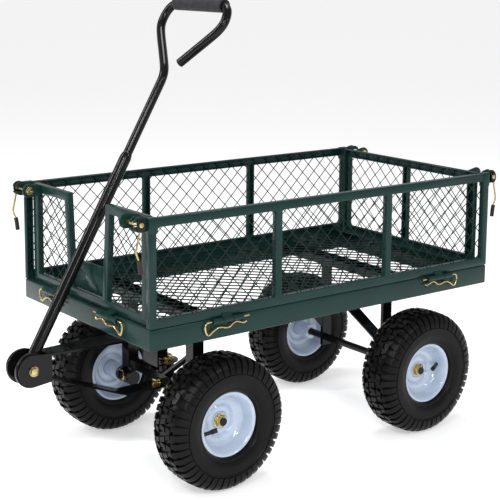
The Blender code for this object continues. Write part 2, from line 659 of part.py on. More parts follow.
def build_end_panel(end, facing):
    face = BED_FRONT_X if facing < 0 else BED_BACK_X
    middle = face - facing * (END_PANEL_SETBACK + PANEL_THICKNESS / 2)
    place = at(x=middle) @ PLANE_YZ
    skin, half = PANEL_SHEET, END_PANEL_HALF
    if facing > 0:
        spans = panel_windows(-half, half, 2)
        windows = [rectangle(a, WINDOW_LOW, b, WINDOW_HIGH) for a, b in spans]
        slots = [rectangle(-half + skin, PANEL_BOTTOM_Z + skin, half - skin, PANEL_TOP_Z - skin)]
        sheets = [rectangle(-half + skin + GAP, PANEL_BOTTOM_Z + skin + GAP,
                            half - skin - GAP, PANEL_TOP_Z - skin - GAP)]
    else:
        windows, slots, sheets = notched_outlines()
    frame = panel_solid(end + "_panel_frame", (-half, PANEL_BOTTOM_Z), (half, PANEL_TOP_Z),
                        place, windows, slots)
    names = [end + "_panel_mesh"] if facing > 0 else ["front_panel_mesh_left", "front_panel_mesh_right"]
    for name, sheet in zip(names, sheets):
        flat_plate(name, sheet, MESH_SHEET, place, GREEN)
    axis_x = face + facing * LATCH_STANDOFF
    back = LATCH_STANDOFF + END_PANEL_SETBACK + 0.004
    for side, sign in SIDES.items():
        outline = arc((0, 0), LATCH_EAR_RADIUS, 90, 270, 10) + [(back, -0.010), (back, 0.009)]
        ear_place = at(axis_x, sign * INNER_EAR_Y, LATCH_Z) @ Matrix.Diagonal((-facing, 1, 1, 1))
        ear = flat_plate(f"{end}_{side}_inner_ear", outline, 0.004, ear_place @ PLANE_XZ, None, CUTTERS)
        fix_mirror(ear)
        join(frame, ear)
        line = [((axis_x, sign * INNER_EAR_Y - 0.02, LATCH_Z), (axis_x, sign * INNER_EAR_Y + 0.02, LATCH_Z))]
        cut(frame, rods(f"{end}_{side}_ear_hole", line, LATCH_BOLT + GAP, 12, collection=CUTTERS))
    add_panel_knuckles(frame, end)
    return middle


def notched_outlines():
    """Window, hollow and mesh outlines of the front panel, around its tapered handle notch."""
    half, skin = END_PANEL_HALF, PANEL_SHEET
    slope = (NOTCH_TOP_HALF - NOTCH_FOOT_HALF) / (PANEL_TOP_Z - WINDOW_LOW)

    def notch_edge(z):
        return NOTCH_FOOT_HALF + slope * (z - WINDOW_LOW)

    over = PANEL_TOP_Z + 0.02
    notch = [(-notch_edge(WINDOW_LOW), WINDOW_LOW), (notch_edge(WINDOW_LOW), WINDOW_LOW),
             (notch_edge(over), over), (-notch_edge(over), over)]
    windows, slots, sheets = [notch], [], []
    for sign in (-1, 1):
        low_in, high_in = notch_edge(WINDOW_LOW) + POST_WIDTH, notch_edge(WINDOW_HIGH) + POST_WIDTH
        outer = half - POST_WIDTH
        windows.append([(sign * low_in, WINDOW_LOW), (sign * outer, WINDOW_LOW),
                        (sign * outer, WINDOW_HIGH), (sign * high_in, WINDOW_HIGH)])
        for clear, store in ((skin, slots), (skin + GAP, sheets)):
            low_z, high_z = PANEL_BOTTOM_Z + clear, PANEL_TOP_Z - clear
            store.append([(sign * (notch_edge(low_z) + clear), low_z), (sign * (half - clear), low_z),
                          (sign * (half - clear), high_z), (sign * (notch_edge(high_z) + clear), high_z)])
    return windows, slots, sheets


def build_notch_plate(middle):
    """The sheet that closes the foot of the handle notch."""
    foot, top = WINDOW_LOW + GAP, NOTCH_PLATE_TOP_Z
    low_half, high_half = NOTCH_FOOT_HALF - 0.0005, NOTCH_FOOT_HALF + 0.003
    outline = [(-low_half, foot), (low_half, foot), (high_half, top), (-high_half, top)]
    flat_plate("front_notch_plate", outline, 0.0015, at(x=middle - 0.004) @ PLANE_YZ, GREEN)


def add_panel_knuckles(frame, panel):
    """Hinge knuckles on straps at the foot of a panel, between the tray's knuckles."""
    for owner, index, centre, axis, outward in barrel_frames():
        if owner != panel:
            continue
        inward = -(BARREL_STANDOFF + (0.0015 if panel in SIDES else END_PANEL_SETBACK + 0.001))
        strap_top = PANEL_BOTTOM_Z + 0.0115 - BARREL_Z
        outline = arc((0, 0), BARREL_RADIUS, 180, 360, 8) + [(BARREL_RADIUS, 0.002), (-0.0035, 0.010),
                                                              (-0.0035, strap_top), (inward, strap_top),
                                                              (inward, PANEL_BOTTOM_Z + 0.0006 - BARREL_Z),
                                                              (-0.0052, PANEL_BOTTOM_Z + 0.0006 - BARREL_Z)]
        turn = Matrix((outward, Vector((0, 0, 1)), outward.cross(Vector((0, 0, 1))))).transposed().to_4x4()
        strap = flat_plate(f"{panel}_strap_{index}", outline, KNUCKLE_LENGTH,
                           Matrix.Translation(centre) @ turn, None, CUTTERS)
        join(frame, strap)
        reach = axis * KNUCKLE_LENGTH
        cut(frame, rods(f"{panel}_strap_bore_{index}", [(centre - reach, centre + reach)],
                        BARREL_BORE, 10, collection=CUTTERS))


# ---- clips and latches ----
CLIP_SHAPE = [(-0.048, 0.0), (0.042, 0.0), (0.050, -0.003), (0.0515, -0.012), (0.046, -0.024),
              (0.030, -0.016), (0.010, -0.0105), (-0.004, -0.0125), (-0.022, -0.0085), (-0.040, -0.0115)]


def build_clips():
    """Hairpin clips: a straight leg through the hinge barrel and a wavy leg under it."""
    for owner, index, centre, away, _ in barrel_frames():
        points = [centre + away * along + Vector((0, 0, drop)) for along, drop in CLIP_SHAPE]
        wire(f"{owner}_clip_{index + 1}", points, CLIP_WIRE, ZINC, resolution=1)


def build_latches():
    """A cross bolt on each end panel and a hanging lever on each side panel."""
    for end, facing in ENDS.items():
        face = BED_FRONT_X if facing < 0 else BED_BACK_X
        x = face + facing * LATCH_STANDOFF
        for side, sign in SIDES.items():
            name = f"{end}_{side}"
            inner, tip = sign * 0.1765, sign * 0.2270
            bolt = rods("latch_bolt_" + name, [((x, inner, LATCH_Z), (x, tip, LATCH_Z))], LATCH_BOLT, 12, ZINC)
            join(bolt, rods("latch_head_" + name, [((x, inner - sign * 0.002, LATCH_Z),
                                                    (x, sign * 0.1797, LATCH_Z))], 0.0068, 12,
                            collection=CUTTERS))
            build_lever(name, x, facing, sign)


def build_lever(name, x, facing, sign):
    """Cam, wire and hand sleeve of one latch lever, hanging from the latch axis."""
    y = sign * LEVER_Y
    cam = rods("latch_lever_" + name, [((x, y - 0.0025, LATCH_Z), (x, y + 0.0025, LATCH_Z))], 0.0115, 16, ZINC)
    bow = [(0.0, -0.006), (0.004, -0.016), (0.010, -0.044), (0.006, -0.060), (0.002, -0.078)]
    path = [(x + facing * out, y, LATCH_Z + drop) for out, drop in bow]
    join(cam, wire("lever_wire_" + name, path, 0.0018, collection=CUTTERS, resolution=1))
    sleeve = [path[-2], (x + facing * 0.0005, y, LATCH_Z - 0.087)]
    join(cam, rods("lever_sleeve_" + name, [sleeve], 0.0042, 10, collection=CUTTERS))


# ---- bodies: empties on the joint axes ----
def gather(name, location, pieces):
    """Parent named pieces to an empty that stands on their joint's axis."""
    axis = bpy.data.objects.new(name, None)
    axis.location = location
    PARTS.objects.link(axis)
    bpy.context.view_layer.update()
    for piece in pieces:
        child = bpy.data.objects[piece]
        child.parent = axis
        child.matrix_parent_inverse = axis.matrix_world.inverted()


def gather_bodies():
    for side, sign in SIDES.items():
        y = sign * LEG_Y
        gather("knuckle_axis_" + side, (LEG_X, y, WHEEL_RADIUS), ["steering_knuckle_" + side])
        inner = (KING_X + TIE_OFFSET_X, sign * TIE_OFFSET_Y, 0.141)
        gather("tie_axis_" + side, inner, ["tie_rod_" + side])
        for end, x in (("front", LEG_X), ("rear", REAR_AXLE_X)):
            tag = end + "_" + side
            gather("wheel_axis_" + tag, (x, sign * HALF_TRACK, WHEEL_RADIUS),
                   ["tyre_" + tag, "rim_" + tag])
    gather("king_axis", (KING_X, 0, 0.2), ["tongue_clevis", "tongue_top_bar", "tongue_lower_bar", "king_bolt"])
    gather("handle_axis", (PIVOT_X, 0, PIVOT_Z),
           ["handle_pivot_drum", "handle_lower_tube", "handle_upper_tube", "handle_grip"])


def build_cart():
    build_tray()
    build_bed()
    build_front_frame()
    build_rear_frame()
    build_knuckles()
    build_tie_rods()
    build_tongue()
    build_handle()
    for side, sign in SIDES.items():
        build_wheel("front", side, LEG_X)
        build_wheel("rear", side, REAR_AXLE_X)
        build_side_panel(side, sign)
    for end, facing in ENDS.items():
        middle = build_end_panel(end, facing)
        if facing < 0:
            build_notch_plate(middle)
    build_clips()
    build_latches()
    gather_bodies()


build_cart()
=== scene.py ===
"""Garden cart: the looks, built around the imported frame.

Front is -X, the left side is -Y and the floor is z = 0. Sizes are in metres, except inside mm().
"""

import json
import logging
from collections.abc import Callable
from dataclasses import dataclass
from enum import Enum
from math import cos, pi, radians, sin

import bmesh
import bpy
from mathutils import Matrix, Vector


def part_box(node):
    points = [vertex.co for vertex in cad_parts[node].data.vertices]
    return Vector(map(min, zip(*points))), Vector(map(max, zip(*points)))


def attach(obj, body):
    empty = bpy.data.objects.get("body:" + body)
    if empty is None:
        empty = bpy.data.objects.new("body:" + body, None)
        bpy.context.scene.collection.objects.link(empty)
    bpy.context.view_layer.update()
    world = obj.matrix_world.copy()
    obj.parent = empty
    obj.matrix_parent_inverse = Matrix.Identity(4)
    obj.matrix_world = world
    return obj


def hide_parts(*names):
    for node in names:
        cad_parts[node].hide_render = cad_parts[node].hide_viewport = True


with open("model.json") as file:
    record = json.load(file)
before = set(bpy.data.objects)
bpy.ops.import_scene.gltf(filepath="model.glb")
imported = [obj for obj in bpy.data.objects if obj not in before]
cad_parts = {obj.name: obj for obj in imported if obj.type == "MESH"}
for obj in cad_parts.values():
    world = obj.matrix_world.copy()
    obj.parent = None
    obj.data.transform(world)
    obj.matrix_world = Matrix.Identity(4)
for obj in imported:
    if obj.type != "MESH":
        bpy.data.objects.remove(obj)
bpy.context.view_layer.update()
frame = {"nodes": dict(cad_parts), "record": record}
LOG = logging.getLogger("garden_cart")
Shape = bmesh.types.BMesh

FRONT = -0.3712                             # front face of the tray
BACK = FRONT + 0.8636                       # rear face of the tray
HALF_BED = 0.235
AXLE_Z = 0.13                               # wheel centres
FRONT_AXLE_X, REAR_AXLE_X = FRONT + 0.178, FRONT + 0.699
HALF_TRACK = 0.198
HINGE_OUT, HINGE_Z = 0.0056, 0.339          # hinge barrels' axes, out from the tray's walls
BARREL_RADIUS, BARREL_BORE, BARREL_LENGTH = 0.0052, 0.0034, 0.022
LATCH_OUT, LATCH_Z = 0.0154, 0.535          # latch bolts' axes, out from the tray's ends
POST = 0.015                                # width of the panels' upright channels
PIVOT = Vector((FRONT - 0.1205, 0, 0.237))  # middle of the handle's pivot bolt
KING_X = FRONT + 0.19
RADIAL_STEPS = 96
UP = Vector((0, 0, 1))


class Named(Enum):
    """A side or an end, with its word in piece names."""

    @property
    def word(self) -> str:
        """The lower-case name."""
        return self.name.lower()


class Side(Named):
    """The two sides of the cart, by the sign of Y."""

    LEFT = -1
    RIGHT = 1

    @property
    def out(self) -> Vector:
        """Unit vector out of the cart on this side."""
        return Vector((0, self.value, 0))


class End(Named):
    """The two ends of the cart, by the sign of X."""

    FRONT = -1
    REAR = 1

    @property
    def face(self) -> float:
        """X of the tray's outer face at this end."""
        return FRONT if self is End.FRONT else BACK

    @property
    def latch_x(self) -> float:
        """X of the latch bolts at this end."""
        return self.face + self.value * LATCH_OUT


# ---- materials
def linear(hex_colour: str) -> tuple[float, float, float, float]:
    """Turns an sRGB hex colour into a linear one.

    Args:
        hex_colour: six digits.

    Returns:
        Linear red, green and blue, and an alpha of 1.
    """
    parts = [int(hex_colour[i:i + 2], 16) / 255 for i in (0, 2, 4)]
    return (*[c / 12.92 if c <= 0.04045 else ((c + 0.055) / 1.055) ** 2.4 for c in parts], 1.0)


def add_node(tree: bpy.types.NodeTree, kind: str, settings: dict, links: dict) -> bpy.types.Node:
    """Adds a shader node with its settings and its incoming links.

    Args:
        tree: the node tree.
        kind: the node's type name, without ShaderNode.
        settings: properties, or input values by socket name after a '#'.
        links: source sockets by input name or index.

    Returns:
        The new node.
    """
    node = tree.nodes.new("ShaderNode" + kind)
    for key, value in settings.items():
        if key.startswith("#"):
            node.inputs[key[1:]].default_value = value
        else:
            setattr(node, key, value)
    for key, source in links.items():
        tree.links.new(source, node.inputs[key])
    return node


@dataclass(frozen=True)
class Finish:
    """A surface finish: two or three tones in soft patches, a sheen that varies, and a fine grain.

    Attributes:
        name: the real finish.
        slot: the record's material slot; not used.
        tones: sRGB hex colours, the commonest in the middle.
        patch_mm: size of the tone patches.
        roughness: mean roughness.
        swing: how far it varies either way.
        grain_mm: size of the grain.
        grain_depth_mm: its height.
        metallic: 1 for bare plating.
        coat: clear gloss layer.
        ior: index of refraction, where not metal.
        sheen: soft edge light of rubber or foam.
        shine: specular level; dark coats need less than the usual half.
    """

    name: str
    slot: str
    tones: tuple[str, ...]
    patch_mm: float
    roughness: float
    swing: float
    grain_mm: float
    grain_depth_mm: float
    metallic: float = 0.0
    coat: float = 0.0
    ior: float = 1.5
    sheen: float = 0.0
    shine: float = 0.5

    def material(self) -> bpy.types.Material:
        """The finish's node material, made on first use."""
        made = bpy.data.materials.get(self.name)
        if made:
            return made
        made = bpy.data.materials.new(self.name)
        made.use_nodes = True
        tree = made.node_tree
        shader = tree.nodes["Principled BSDF"]
        place = add_node(tree, "TexCoord", {}, {}).outputs["Object"]
        patches = add_node(tree, "TexNoise", {"#Scale": 1000 / self.patch_mm, "#Detail": 4.0,
            "#Roughness": 0.6}, {"Vector": place})
        tones = add_node(tree, "ValToRGB", {}, {"Fac": patches.outputs["Fac"]})
        ramp = tones.color_ramp
        while len(ramp.elements) < len(self.tones):
            ramp.elements.new(0.5)
        for index, (element, tone) in enumerate(zip(ramp.elements, self.tones)):
            element.position = 0.32 + 0.36 * index / max(1, len(self.tones) - 1)
            element.color = linear(tone)
        tree.links.new(tones.outputs["Color"], shader.inputs["Base Color"])
        smudges = add_node(tree, "TexNoise", {"#Scale": 1000 / (self.patch_mm * 0.45), "#Detail": 6.0},
            {"Vector": place})
        sheen = add_node(tree, "MapRange", {"#To Min": self.roughness - self.swing,
            "#To Max": self.roughness + self.swing}, {"Value": smudges.outputs["Fac"]})
        tree.links.new(sheen.outputs["Result"], shader.inputs["Roughness"])
        grain = add_node(tree, "TexNoise", {"#Scale": 1000 / self.grain_mm, "#Detail": 3.0},
            {"Vector": place})
        bump = add_node(tree, "Bump", {"#Strength": 1.0, "#Distance": self.grain_depth_mm / 1000},
            {"Height": grain.outputs["Fac"]})
        tree.links.new(bump.outputs["Normal"], shader.inputs["Normal"])
        values = {"Metallic": self.metallic, "Coat Weight": self.coat, "Coat Roughness": 0.08,
            "Sheen Weight": self.sheen, "Specular IOR Level": self.shine}
        if not self.metallic:
            values["IOR"] = self.ior
        for socket, value in values.items():
            shader.inputs[socket].default_value = value
        return made


# Polyester powder coat, sprayed and baked: deep green, satin, with a faint orange peel.
GREEN = Finish("satin_green_polyester", "green_powder_coat", ("142d2a", "15302c", "17332f"), 90, 0.26, 0.05,
    1.8, 0.004, coat=0.12, ior=1.38, shine=0.2)
# The same coat on 2 mm wire: thicker and a little darker at the crossings.
GREEN_WIRE = Finish("green_coated_wire", "green_powder_coat", ("0a1c18", "0e231f", "122a25"), 25, 0.38,
    0.08, 1.2, 0.02, ior=1.38, shine=0.2)
# Black gloss powder coat on tube and plate: near black, with sharp long highlights.
BLACK = Finish("gloss_black_polyester", "black_powder_coat", ("070708", "0b0b0c", "0f0f10"), 50, 0.15, 0.03,
    3.0, 0.0008, coat=0.16, ior=1.32, shine=0.3)
# Moulded tyre rubber: carbon black, satin where the mould was polished.
TYRE = Finish("moulded_tyre_rubber", "tyre_rubber", ("070708", "0a0a0b", "0f0f0f"), 30, 0.32, 0.07, 1.0,
    0.02, sheen=0.01, ior=1.38, shine=0.2)
# Baked enamel on pressed rims: pale blue-white and glossy.
RIM = Finish("baked_pale_blue_enamel", "rim_enamel", ("a3b1c5", "adbbcf", "b7c4d6"), 70, 0.11, 0.03, 2.5,
    0.004, coat=0.7)
# Yellow chromate over zinc: gold with green and rose tints.
ZINC = Finish("yellow_zinc_plate", "yellow_zinc", ("8f7c4c", "c9b988", "b09e68", "c09c84"), 7, 0.24, 0.08,
    0.8, 0.01, metallic=1.0)
# Closed-cell foam sleeve: dark grey, dull, with fine pores.
FOAM = Finish("closed_cell_foam", "grip_foam", ("1b1b1d", "232325", "2c2c2f"), 12, 0.8, 0.06, 1.1, 0.15,
    sheen=0.08, shine=0.2)
# Dipped vinyl sleeve: dark maroon-brown, soft gloss.
VINYL = Finish("dipped_vinyl", "yellow_zinc", ("1d1215", "27191d", "302024"), 12, 0.4, 0.08, 1.5, 0.03,
    shine=0.3)
# Moulded valve rubber: black and smooth.
VALVE = Finish("valve_rubber", "tyre_rubber", ("0b0b10", "111118"), 8, 0.4, 0.06, 0.8, 0.02, shine=0.3)


# ---- mesh tools
def show(name: str, data: bpy.types.ID) -> bpy.types.Object:
    """Puts mesh, lamp or camera data into the scene as an object."""
    made = bpy.data.objects.new(name, data)
    bpy.context.scene.collection.objects.link(made)
    return made


def show_mesh(name: str, bm: Shape, material: bpy.types.Material) -> bpy.types.Object:
    """Puts a finished shape into the scene."""
    mesh = bpy.data.meshes.new(name)
    bm.to_mesh(mesh)
    bm.free()
    mesh.materials.append(material)
    return show(name, mesh)


def make_piece(name: str, bm: Shape, finish: Finish, body: str, stands_for: tuple[str, ...] = (),
        smooth: float = 38.0, weld: bool = True) -> bpy.types.Object:
    """Turns a bmesh into a dressed piece that rides on a body.

    Args:
        name: the piece's name.
        bm: its shape in the row frame.
        finish: its finish.
        body: the body it rides on.
        stands_for: CAD nodes that it replaces.
        smooth: largest angle, in degrees, that is shaded smooth.
        weld: whether doubles are merged and normals recalculated.

    Returns:
        The piece.
    """
    if weld:
        bmesh.ops.remove_doubles(bm, verts=bm.verts, dist=0.000005)
        bmesh.ops.recalc_face_normals(bm, faces=bm.faces)
    piece = show_mesh(name, bm, finish.material())
    piece.data.shade_smooth()
    piece.data.set_sharp_from_angle(angle=radians(smooth))
    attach(piece, body)
    if stands_for:
        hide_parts(*stands_for)
    return piece


def mm(*points: tuple) -> list:
    """Points listed in millimetres, in metres."""
    return [tuple(value / 1000 for value in point) for point in points]


def verts_in(geom: list) -> list:
    """The vertices in what a bmesh operator returns."""
    return [g for g in geom if isinstance(g, bmesh.types.BMVert)]


def edges_at(verts: list) -> list:
    """Every edge that meets the vertices."""
    return list({e for v in verts for e in v.link_edges})


def facing(direction: Vector) -> Matrix:
    """The turn that takes +Z to a direction."""
    return UP.rotation_difference(direction).to_matrix().to_4x4()


def bevel_edges(bm: Shape, edges: list, width: float, segments: int = 2) -> None:
    """Rounds edges with an arc profile."""
    bmesh.ops.bevel(bm, geom=edges, offset=width, affect="EDGES", segments=segments, profile=0.5,
        material=-1, clamp_overlap=True)


def bevel_folds(bm: Shape, width: float, segments: int = 2) -> None:
    """Rounds a sheet's folds, which are its edges of more than about 30 degrees."""
    folds = [e for e in bm.edges if len(e.link_faces) == 2 and e.calc_face_angle(0) > 0.5]
    bevel_edges(bm, folds, width, segments)


def add_rod(bm: Shape, start: Vector, end: Vector, radius: float, sides: int = 24, edge: float = 0.0,
        spin: float = 0.0) -> None:
    """Adds a capped rod.

    Args:
        bm: the shape.
        start: centre of one end.
        end: centre of the other end.
        radius: its radius.
        sides: how many sides.
        edge: rounding of its rims.
        spin: turn about its own axis, in radians.
    """
    start, end = Vector(start), Vector(end)
    place = at(*(start + end) / 2) @ facing(end - start) @ Matrix.Rotation(spin, 4, "Z")
    made = bmesh.ops.create_cone(bm, cap_ends=True, segments=sides, radius1=radius, radius2=radius,
        depth=(end - start).length, matrix=place)
    if edge:
        rims = {e for v in made["verts"] for f in v.link_faces if len(f.verts) == sides for e in f.edges}
        bevel_edges(bm, list(rims), edge)


def add_block(bm: Shape, low: Vector, high: Vector, edge: float = 0.0) -> None:
    """Adds a box between two opposite corners, its edges rounded by edge."""
    low, high = Vector(low), Vector(high)
    size = [abs(reach) for reach in high - low]
    place = at(*(low + high) / 2) @ Matrix.Diagonal((*size, 1))
    made = bmesh.ops.create_cube(bm, size=1.0, matrix=place)
    if edge:
        bevel_edges(bm, edges_at(made["verts"]), edge)


def add_plate(bm: Shape, outline: list, thickness: float, place: Matrix, edge: float = 0.0) -> None:
    """Adds a flat plate of a given outline.

    Args:
        bm: the shape.
        outline: (u, v) points in its own plane.
        thickness: thickness, centred on that plane.
        place: matrix from that plane to the row frame.
        edge: rounding of the rims.
    """
    ring = [bm.verts.new(place @ Vector((u, v, -thickness / 2))) for u, v in outline]
    base = bm.faces.new(ring)
    lifted = verts_in(bmesh.ops.extrude_face_region(bm, geom=[base])["geom"])
    bmesh.ops.translate(bm, verts=lifted, vec=place.to_3x3() @ Vector((0, 0, thickness)))
    if edge:
        rims = set(base.edges) | {e for v in lifted for e in v.link_edges if e.other_vert(v) in lifted}
        bevel_edges(bm, list(rims), edge)


def add_pipe(bm: Shape, path: list, radius: float, sides: int = 12, bore: float = 0.0) -> None:
    """Sweeps a round section along a path, solid or hollow.

    Args:
        bm: the shape.
        path: points along the middle.
        radius: outer radius.
        sides: how many sides.
        bore: inner radius of an open pipe, or 0.
    """
    path = [Vector(p) for p in path]
    ahead = (path[1] - path[0]).normalized()
    turn = facing(ahead).to_3x3()
    stations = []
    for index, point in enumerate(path):
        back = (point - path[max(0, index - 1)]).normalized()
        front = (path[min(len(path) - 1, index + 1)] - point).normalized()
        along = (back + front).normalized()
        turn = ahead.rotation_difference(along).to_matrix() @ turn
        ahead = along
        stations.append(at(*point) @ turn.to_4x4())
    skins = []
    for size in (radius, bore) if bore else (radius,):
        loops = []
        for place in stations:
            ring = bmesh.ops.create_circle(bm, segments=sides, radius=size, matrix=place)["verts"]
            loops.append(edges_at(ring))
        for first, second in zip(loops, loops[1:]):
            bmesh.ops.bridge_loops(bm, edges=first + second)
        skins.append((loops[0], loops[-1]))
    if bore:
        for end in (0, 1):
            bmesh.ops.bridge_loops(bm, edges=skins[0][end] + skins[1][end])
    else:
        for end in (0, 1):
            bmesh.ops.edgeloop_fill(bm, edges=skins[0][end])


def add_turned(bm: Shape, profile: list, start: Vector, axis: Vector, steps: int = RADIAL_STEPS,
        closed: bool = False) -> None:
    """Turns a profile about an axis.

    Args:
        bm: the shape.
        profile: (radius, distance) points.
        start: where distances are counted from.
        axis: unit vector along the axis.
        steps: steps round.
        closed: whether the ends join.
    """
    spoke = facing(axis) @ Vector((1, 0, 0))
    points = [bm.verts.new(start + spoke * radius + axis * far) for radius, far in profile]
    pairs = list(zip(points, points[1:])) + ([(points[-1], points[0])] if closed else [])
    edges = [bm.edges.new(pair) for pair in pairs]
    bmesh.ops.spin(bm, geom=points + edges, cent=start, axis=axis, angle=2 * pi, steps=steps,
        use_merge=True)


def add_washer(bm: Shape, start: Vector, axis: Vector, bore: float, radius: float, thickness: float,
        steps: int, soft: float = 0.0004) -> None:
    """Adds a flat ring with softened rims.

    Args:
        bm: the shape.
        start: middle of its first face.
        axis: unit vector from its first face to its second.
        bore: inner radius.
        radius: outer radius.
        thickness: distance between its faces.
        steps: steps round.
        soft: reach of the softening.
    """
    ring = [(bore, 0.0), (radius, 0.0), (radius, thickness), (bore, thickness)]
    add_turned(bm, soften(ring, soft, True), start, axis, steps, closed=True)


def soften(points: list, reach: float, closed: bool = False) -> list:
    """Cuts each corner of a profile with a short three-point arc.

    Args:
        points: the profile.
        reach: distance from a corner to its arc.
        closed: whether its ends join.

    Returns:
        The softened profile.
    """
    made = []
    count = len(points)
    for index, point in enumerate(points):
        if not closed and index in (0, count - 1):
            made.append(point)
            continue
        here = Vector(point)
        before, after = Vector(points[index - 1]), Vector(points[(index + 1) % count])
        cut = min(reach, (before - here).length * 0.45, (after - here).length * 0.45)
        first = here + (before - here).normalized() * cut
        last = here + (after - here).normalized() * cut
        middle = here * 0.5 + (first + last) * 0.25
        made += [tuple(first), tuple(middle), tuple(last)]
    return made


def curve_through(points: list, steps: int = 6) -> list:
    """A smooth path through points, by Catmull-Rom.

    Args:
        points: the points.
        steps: steps between neighbours.

    Returns:
        The path.
    """
    points = [Vector(p) for p in points]
    ends = [points[0] * 2 - points[1], *points, points[-1] * 2 - points[-2]]
    path = []
    for a, b, c, d in zip(ends, ends[1:], ends[2:], ends[3:]):
        for step in range(steps):
            t = step / steps
            path.append(0.5 * (b * 2 + (c - a) * t + (a * 2 - b * 5 + c * 4 - d) * t ** 2
                               + (b * 3 - a - c * 3 + d) * t ** 3))
    return [*path, points[-1]]


def arc(centre: tuple, radius: float, start: float, end: float, steps: int) -> list:
    """Points of an arc between two angles in degrees, both ends included."""
    spread = [radians(start + (end - start) * step / steps) for step in range(steps + 1)]
    return [(centre[0] + radius * cos(a), centre[1] + radius * sin(a)) for a in spread]


def wall(piece: bpy.types.Object, thickness: float) -> None:
    """Gives an open sheet its thickness, on the inner side of its faces."""
    sheet = piece.modifiers.new("sheet", "SOLIDIFY")
    sheet.thickness = thickness
    sheet.offset = -1
    sheet.use_even_offset = True


def refine(node: str, finish: Finish, edge: float = 0.0007) -> None:
    """Replaces a CAD node by a merged copy with softened edges.

    Args:
        node: the CAD node.
        finish: its finish.
        edge: rounding of its sharp edges.
    """
    bm = bmesh.new()
    bm.from_mesh(frame["nodes"][node].data)
    bmesh.ops.remove_doubles(bm, verts=bm.verts, dist=0.00002)
    bmesh.ops.dissolve_limit(bm, angle_limit=radians(1), verts=bm.verts, edges=bm.edges)
    body = next(b for b, nodes in frame["record"]["behaviour"]["bodies"].items() if node in nodes)
    piece = make_piece(node + "_finished", bm, finish, body, (node,), weld=False)
    soft = piece.modifiers.new("soft_edges", "BEVEL")
    soft.width = edge
    soft.segments = 2
    soft.limit_method = "ANGLE"
    soft.angle_limit = radians(40)
    soft.harden_normals = True


PLANE_XZ = Matrix.Rotation(radians(90), 4, "X")


def at(x: float = 0.0, y: float = 0.0, z: float = 0.0) -> Matrix:
    """A move to a point."""
    return Matrix.Translation((x, y, z))


